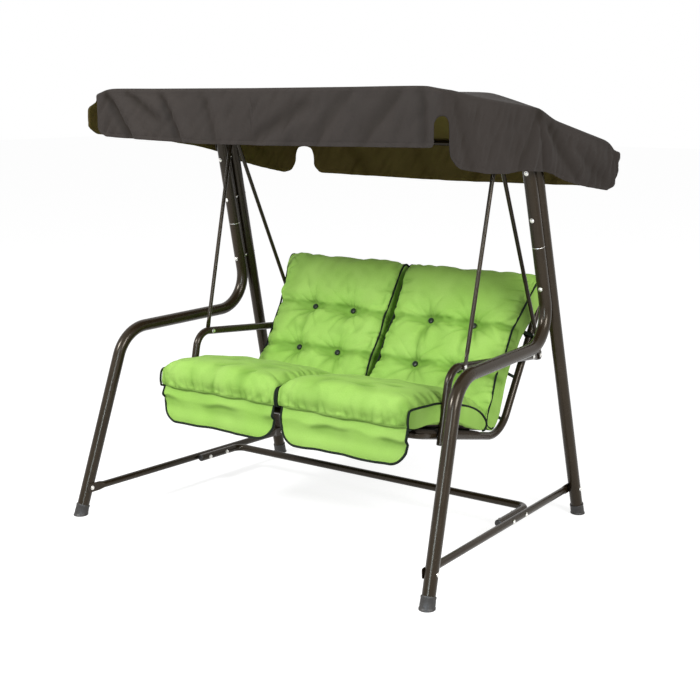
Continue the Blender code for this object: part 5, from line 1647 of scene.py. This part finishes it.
class Cover:
    """The canopy's cloth: a roof, and four valances that part at arch-topped slits at the corners."""

    def __init__(self):
        inner_x = COVER_HALF_WIDTH - EAVE_RADIUS
        self.xs = graded(-inner_x, inner_x)
        self.ys = graded(COVER_FRONT[0] + EAVE_RADIUS, COVER_REAR[0] - EAVE_RADIUS)
        x, y = np.meshgrid(self.xs, self.ys)
        x, y = self.round_corners(x, y)
        self.roof = np.stack([x, y, cover_height(x, y)], -1)
        self.lay_border()

    def round_corners(self, x, y):
        radius = COVER_CORNER_RADIUS - EAVE_RADIUS
        middle_y = (self.ys[0] + self.ys[-1]) / 2
        edge_x = self.xs[-1] - radius
        edge_y = (self.ys[-1] - self.ys[0]) / 2 - radius
        u = np.clip((np.abs(x) - edge_x) / radius, 0, 1)
        v = np.clip((np.abs(y - middle_y) - edge_y) / radius, 0, 1)
        move_x = radius * u * (1 - np.sqrt(1 - v ** 2 / 2))
        move_y = radius * v * (1 - np.sqrt(1 - u ** 2 / 2))
        for ear, sign_x, sign_y in zip(CORNER_EARS, (-1, 1, 1, -1), (-1, -1, 1, 1)):
            pull = ear * u * v * (np.sign(x) == sign_x) * (np.sign(y - middle_y) == sign_y)
            move_x, move_y = move_x - pull, move_y - pull
        return x - np.sign(x) * move_x, y - np.sign(y - middle_y) * move_y

    def lay_border(self):
        """The border's columns in turn, along the front, the right, the rear and the left."""
        nx, ny = len(self.xs), len(self.ys)
        self.cells = [(0, i) for i in range(nx - 1)]
        self.cells += [(j, nx - 1) for j in range(ny - 1)]
        self.cells += [(ny - 1, i) for i in range(nx - 1, 0, -1)]
        self.cells += [(j, 0) for j in range(ny - 1, 0, -1)]
        self.corners = [0, nx - 1, nx + ny - 2, 2 * nx + ny - 3]
        self.base = np.array([self.roof[cell] for cell in self.cells])
        count = len(self.cells)
        step = np.roll(self.base, -1, 0) - np.roll(self.base, 1, 0)
        out = np.stack([step[:, 1], -step[:, 0], np.zeros(count)], -1)
        self.out = out / np.linalg.norm(out, axis=1, keepdims=True)
        eave = self.base + self.out * EAVE_RADIUS
        gaps = np.linalg.norm((np.roll(eave, -1, 0) - eave)[:, :2], axis=1)
        walked = np.concatenate([[0], np.cumsum(gaps)])
        around = walked[-1]
        self.side = []
        self.from_corner = np.full(count, FAR_AWAY)
        self.slit = np.zeros(count)
        top = np.zeros(count)
        ends = self.corners[1:] + [count]
        for name, first, last in zip(HEMS, self.corners, ends):
            self.side += [name] * (last - first)
        for number, corner in enumerate(self.corners):
            away = np.abs(walked[:-1] - walked[corner] - SLIT_SHIFT[number])
            away = np.minimum(away, around - away)
            nearer = away < self.from_corner
            self.from_corner[nearer] = away[nearer]
            self.slit[nearer] = SLIT_HALF_WIDTH[number]
            top[nearer] = SLIT_TOP[number]
        self.along = np.where(self.on("front", "rear"), eave[:, 0], eave[:, 1])
        self.drop = np.zeros(count)
        self.relief_share = np.clip((self.from_corner - self.slit * 0.5) / 0.05, 0, 1)
        for name, hem in HEMS.items():
            mine = self.on(name)
            hem_z = along_profile(hem, self.along)
            low_end, high_end = HEM_CORNERS[name]
            width = np.where(self.along < 0, low_end[0], high_end[0])
            height = np.where(self.along < 0, low_end[1], high_end[1])
            past = np.clip(1 - (self.from_corner - self.slit) / width, 0, 1)
            lift = height * (1 - np.sqrt(1 - past ** 2))
            self.drop[mine] = (self.base[:, 2] - hem_z - lift)[mine]
        inside = np.clip(self.from_corner / self.slit, 0, 1)
        self.arch = top + self.slit * (1 - np.sqrt(1 - inside ** 2))
        self.drop = np.maximum(self.drop, self.arch + 1.6 * HEM_WIDTH)
        self.in_slit = self.from_corner < self.slit - 0.001

    def on(self, *names):
        """Which columns belong to the named valances."""
        return np.array([side in names for side in self.side])

    def relief(self, depth):
        """How far each column's cloth stands out at a depth below the roof's edge. Sets its shade too."""
        stand = np.zeros(len(self.cells))
        self.shade = np.zeros(len(self.cells))
        share = np.clip(depth / self.drop, 0, 1)
        height = self.base[:, 2] - depth
        for number, (name, creases) in enumerate(CREASES.items()):
            mine = self.on(name)
            offset = VALANCE_FLARE[name] * share
            wave = np.sin(self.along * 21.0 + 1.3 * number) + 0.6 * np.sin(self.along * 37.0 + 2.2 * number)
            offset = offset + HEM_WAVE * share ** 1.5 * wave
            pulled = sum(crease(self.along, height, *fold) for fold in creases)
            stand[mine] = ((offset + pulled) * self.relief_share)[mine]
            self.shade[mine] = (-pulled / DEEPEST_FOLD * self.relief_share)[mine]
        at_left_front = self.on("left") & (self.along < 0)
        flared = LEFT_FLARE[0] * np.exp(-(self.from_corner / LEFT_FLARE[1]) ** 2)
        stand = stand + at_left_front * flared * ease((depth - 0.018) / 0.035)
        stand = stand + RIPPLE_DEPTH * ripples(self.along, height, 41, (0.05, 0.14)) * self.relief_share
        streaks = ripples(self.along, height, 43, (0.032, 0.080), STREAK_TURNS) * self.relief_share
        stand = stand + STREAK_DEPTH * streaks
        self.shade = self.shade + np.clip(-0.18 * streaks, 0, 0.35)
        seam = -0.0012 * np.exp(-((depth - SEAM_DEPTH) / STITCH_HALF_WIDTH) ** 2)
        hem = -0.0010 * np.exp(-((self.drop - depth - HEM_WIDTH) / STITCH_HALF_WIDTH) ** 2)
        panel = np.exp(-((self.along - PANEL_SEAM_X) / PANEL_SEAM_HALF_WIDTH) ** 2)
        return stand + seam + hem - 0.0020 * self.on("front") * panel

    def points(self, depth):
        """The border's points at a depth, which may differ from column to column."""
        depth = np.asarray(depth, dtype=float) * np.ones(len(self.cells))
        turn = np.arccos(np.clip(1 - depth / EAVE_RADIUS, 0, 1))
        reach = EAVE_RADIUS * np.sin(turn) + self.relief(depth) * ease((depth - 0.010) / 0.055)
        return self.base + self.out * reach[:, None] - np.array((0, 0, 1.0)) * depth[:, None]


def cover_mesh(cover):
    """The cover's points, faces, flat places and each point's painted shade from its creases and streaks."""
    ny, nx = cover.roof.shape[:2]
    points = [tuple(p) for p in cover.roof.reshape(-1, 3)]
    flat = [(x, y) for x, y, _ in points]
    faces = grid_faces(nx, ny)
    count = len(cover.cells)
    rows = [[j * nx + i for j, i in cover.cells]]
    shade = [0.0] * len(points)

    def add_row(depth):
        first = len(points)
        depth = np.asarray(depth) * np.ones(count)
        points.extend(tuple(p) for p in cover.points(depth))
        shade.extend(cover.shade)
        flat.extend(map(tuple, cover.base[:, :2] + cover.out[:, :2] * depth[:, None]))
        rows.append([first + k for k in range(count)])

    for step in range(1, EAVE_STEPS + 1):
        add_row(EAVE_RADIUS * (1 - math.cos(math.pi / 2 * step / EAVE_STEPS)))
    for depth in UPPER_ROWS:
        add_row(depth)
    for step in range(1, ARCH_ROWS + 1):
        add_row(UPPER_ROWS[-1] + (cover.arch - UPPER_ROWS[-1]) * step / ARCH_ROWS)
    whole = len(rows)
    above_hem = cover.drop - cover.arch - HEM_WIDTH * 1.4
    for step in range(1, LOWER_ROWS + 1):
        add_row(cover.arch + above_hem * step / LOWER_ROWS)
    for up in HEM_ROWS:
        add_row(cover.drop - HEM_WIDTH * up)
    for r, (upper, lower) in enumerate(zip(rows, rows[1:])):
        for k in range(count):
            n = (k + 1) % count
            if r + 1 >= whole and (cover.in_slit[k] or cover.in_slit[n]):
                continue
            faces.append((upper[k], lower[k], lower[n], upper[n]))
    return points, faces, flat, shade


def add_cover():
    cover = Cover()
    points, faces, flat, shade = cover_mesh(cover)
    piece, area = make_sheet("canopy_cloth", points, faces, flat, np.array(shade), Z_AXIS, CHARCOAL,
                             CHARCOAL_INSIDE_PAINTED_LIGHT)
    thicken(piece, COVER_THICKNESS, -1.0, 1)
    mount(piece, "canopy", "canopy_fabric", "canopy_cover")


# Small metalwork

def add_turned_pair(name, body, slot, finish, profile, centre, direction):
    """A turned shape and its mirror image in one piece. The profile holds (height, radius)."""
    wide = direction.cross(X_AXIS).normalized()
    across = wide.cross(direction)
    vertices, faces = [], []
    for sign in SIDES.values():
        first = len(vertices)
        ring = []
        for height, radius in profile:
            for i in range(TUBE_SIDES):
                angle = 2 * math.pi * i / TUBE_SIDES
                spoke = across * math.cos(angle) + wide * math.sin(angle)
                ring.append(centre + direction * height + spoke * radius)
        vertices += mirrored(ring, sign)
        faces += [tuple(first + i for i in face) for face in ring_faces(len(profile), TUBE_SIDES)]
        faces.append(tuple(range(first, first + TUBE_SIDES)))
        faces.append(tuple(range(len(vertices) - TUBE_SIDES, len(vertices))))
    piece = make_piece(name, vertices, faces, finish)
    face_out(piece.data)
    smooth(piece, 40)
    mount(piece, body, slot)


def add_end_plugs():
    """Domed plugs in the open tube ends."""
    dome = ((0.0, 1.0), (0.0012, 0.98), (0.0022, 0.86), (0.0028, 0.55), (0.0030, 0.10))
    inset = 0.0009
    crossbar_end = crossbar_side_point(CROSSBAR_END_Y)
    crossbar_out = (crossbar_end - crossbar_side_point(CROSSBAR_Y)).normalized()
    arm_foot = Vector((ARM_X, *ARM_FOOT))
    arm_out = (arm_foot - Vector((ARM_X, *ARM_CORNER))).normalized()
    leg_top = rear_leg_point(REAR_LEG_TOP_Z)
    for name, body, end, direction, radius in (
        ("crossbar_end_plugs", "stand", crossbar_end, crossbar_out, CROSSBAR_RADIUS),
        ("armrest_end_plugs", "seat", arm_foot, arm_out, SEAT_TUBE_RADIUS),
        ("rear_leg_top_plugs", "stand", leg_top, POST_DIRECTION, LEG_RADIUS),
    ):
        profile = [(height, (radius - inset) * share) for height, share in dome]
        add_turned_pair(name, body, "cap_plastic", PLUG, profile, end, direction)


def add_joint_rings():
    """The bright line where each post's tube sits on the leg below it."""
    half_height = 0.0011
    low = LEG_RADIUS - 0.0002
    high = low + 0.0004
    profile = ((-half_height, low), (-half_height * 0.5, high), (half_height * 0.5, high), (half_height, low))
    add_turned_pair("post_joint_rings", "stand", "zinc", ZINC, profile, post_point(POST_JOINT_Z),
                    POST_DIRECTION)


def coat_plates():
    for side in SIDES:
        for node in ("hanger_plate_", "canopy_bracket_"):
            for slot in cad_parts[node + side].material_slots:
                slot.material = COAT


# Camera, floor and light

def add_camera():
    data = bpy.data.cameras.new("camera")
    data.sensor_width = SENSOR_WIDTH
    data.lens = FOCAL_PIXELS / IMAGE_PIXELS * SENSOR_WIDTH
    camera = bpy.data.objects.new("camera", data)
    camera.location = CAMERA_PLACE
    camera.rotation_euler = (math.pi / 2 - CAMERA_DOWN, 0.0, CAMERA_TURN)
    bpy.context.scene.collection.objects.link(camera)
    bpy.context.scene.camera = camera


def add_floor():
    """A pale floor that shows white to the camera and keeps the object's shadow."""
    corners = [(x * FLOOR_REACH, y * FLOOR_REACH, 0) for x, y in ((-1, -1), (1, -1), (1, 1), (-1, 1))]
    finish = Finish("pale_floor")
    lit = finish.node("ShaderNodeLightPath", {}, {}, "Is Camera Ray")
    for ray in ("Is Glossy Ray", "Is Transmission Ray"):
        lit = lit.largest(finish.node("ShaderNodeLightPath", {}, {}, ray))
    glow = finish.blend(lit, (0.0, 0.0, 0.0), (0.82, 0.82, 0.82))
    finish.set(Base_Color=(0.45, 0.45, 0.45), Roughness=0.9, Specular_IOR_Level=0.0)
    finish.set(Emission_Color=glow, Emission_Strength=1.0)
    floor = make_piece("floor", corners, [(0, 1, 2, 3)], finish.material)


def add_lights():
    """Key and fill lights, and a cool strip that shows only in reflections."""
    for name, (place, target, size, power) in LIGHTS.items():
        data = bpy.data.lights.new(name, "AREA")
        data.shape = "ELLIPSE"
        data.size, data.size_y = size
        data.energy = power
        light = bpy.data.objects.new(name, data)
        light.location = place
        light.rotation_euler = (Vector(target) - Vector(place)).to_track_quat("-Z", "Y").to_euler()
        bpy.context.scene.collection.objects.link(light)
        if name == "strip":
            data.color = STRIP_COLOUR
            light.visible_diffuse = False


def add_world():
    """Even studio light, with a white backdrop for what looks straight at it."""
    world = bpy.data.worlds.new("studio")
    bpy.context.scene.world = world
    world.use_nodes = True
    tree = world.node_tree
    tree.nodes.clear()
    path = tree.nodes.new("ShaderNodeLightPath")
    seen = path.outputs["Is Camera Ray"]
    for ray in ("Is Glossy Ray", "Is Transmission Ray"):
        either = tree.nodes.new("ShaderNodeMath")
        either.operation = "MAXIMUM"
        tree.links.new(seen, either.inputs[0])
        tree.links.new(path.outputs[ray], either.inputs[1])
        seen = either.outputs[0]
    mix = tree.nodes.new("ShaderNodeMixShader")
    tree.links.new(seen, mix.inputs[0])
    for number, strength in ((1, WORLD_STRENGTH), (2, BACKDROP_STRENGTH)):
        white = tree.nodes.new("ShaderNodeBackground")
        white.inputs["Color"].default_value = (1.0, 1.0, 1.0, 1.0)
        white.inputs["Strength"].default_value = strength
        tree.links.new(white.outputs[0], mix.inputs[number])
    end = tree.nodes.new("ShaderNodeOutputWorld")
    tree.links.new(mix.outputs[0], end.inputs["Surface"])


add_camera()
add_stand_tubes()
add_seat_tubes()
add_canopy_tubes()
add_foot_caps()
add_end_plugs()
add_joint_rings()
coat_plates()
add_all_bolts()
piping = add_cushions()
add_flaps(piping)
add_slings()
add_ties()
add_cover()
add_floor()
add_lights()
add_world()
bpy.context.scene.view_settings.view_transform = "Standard"
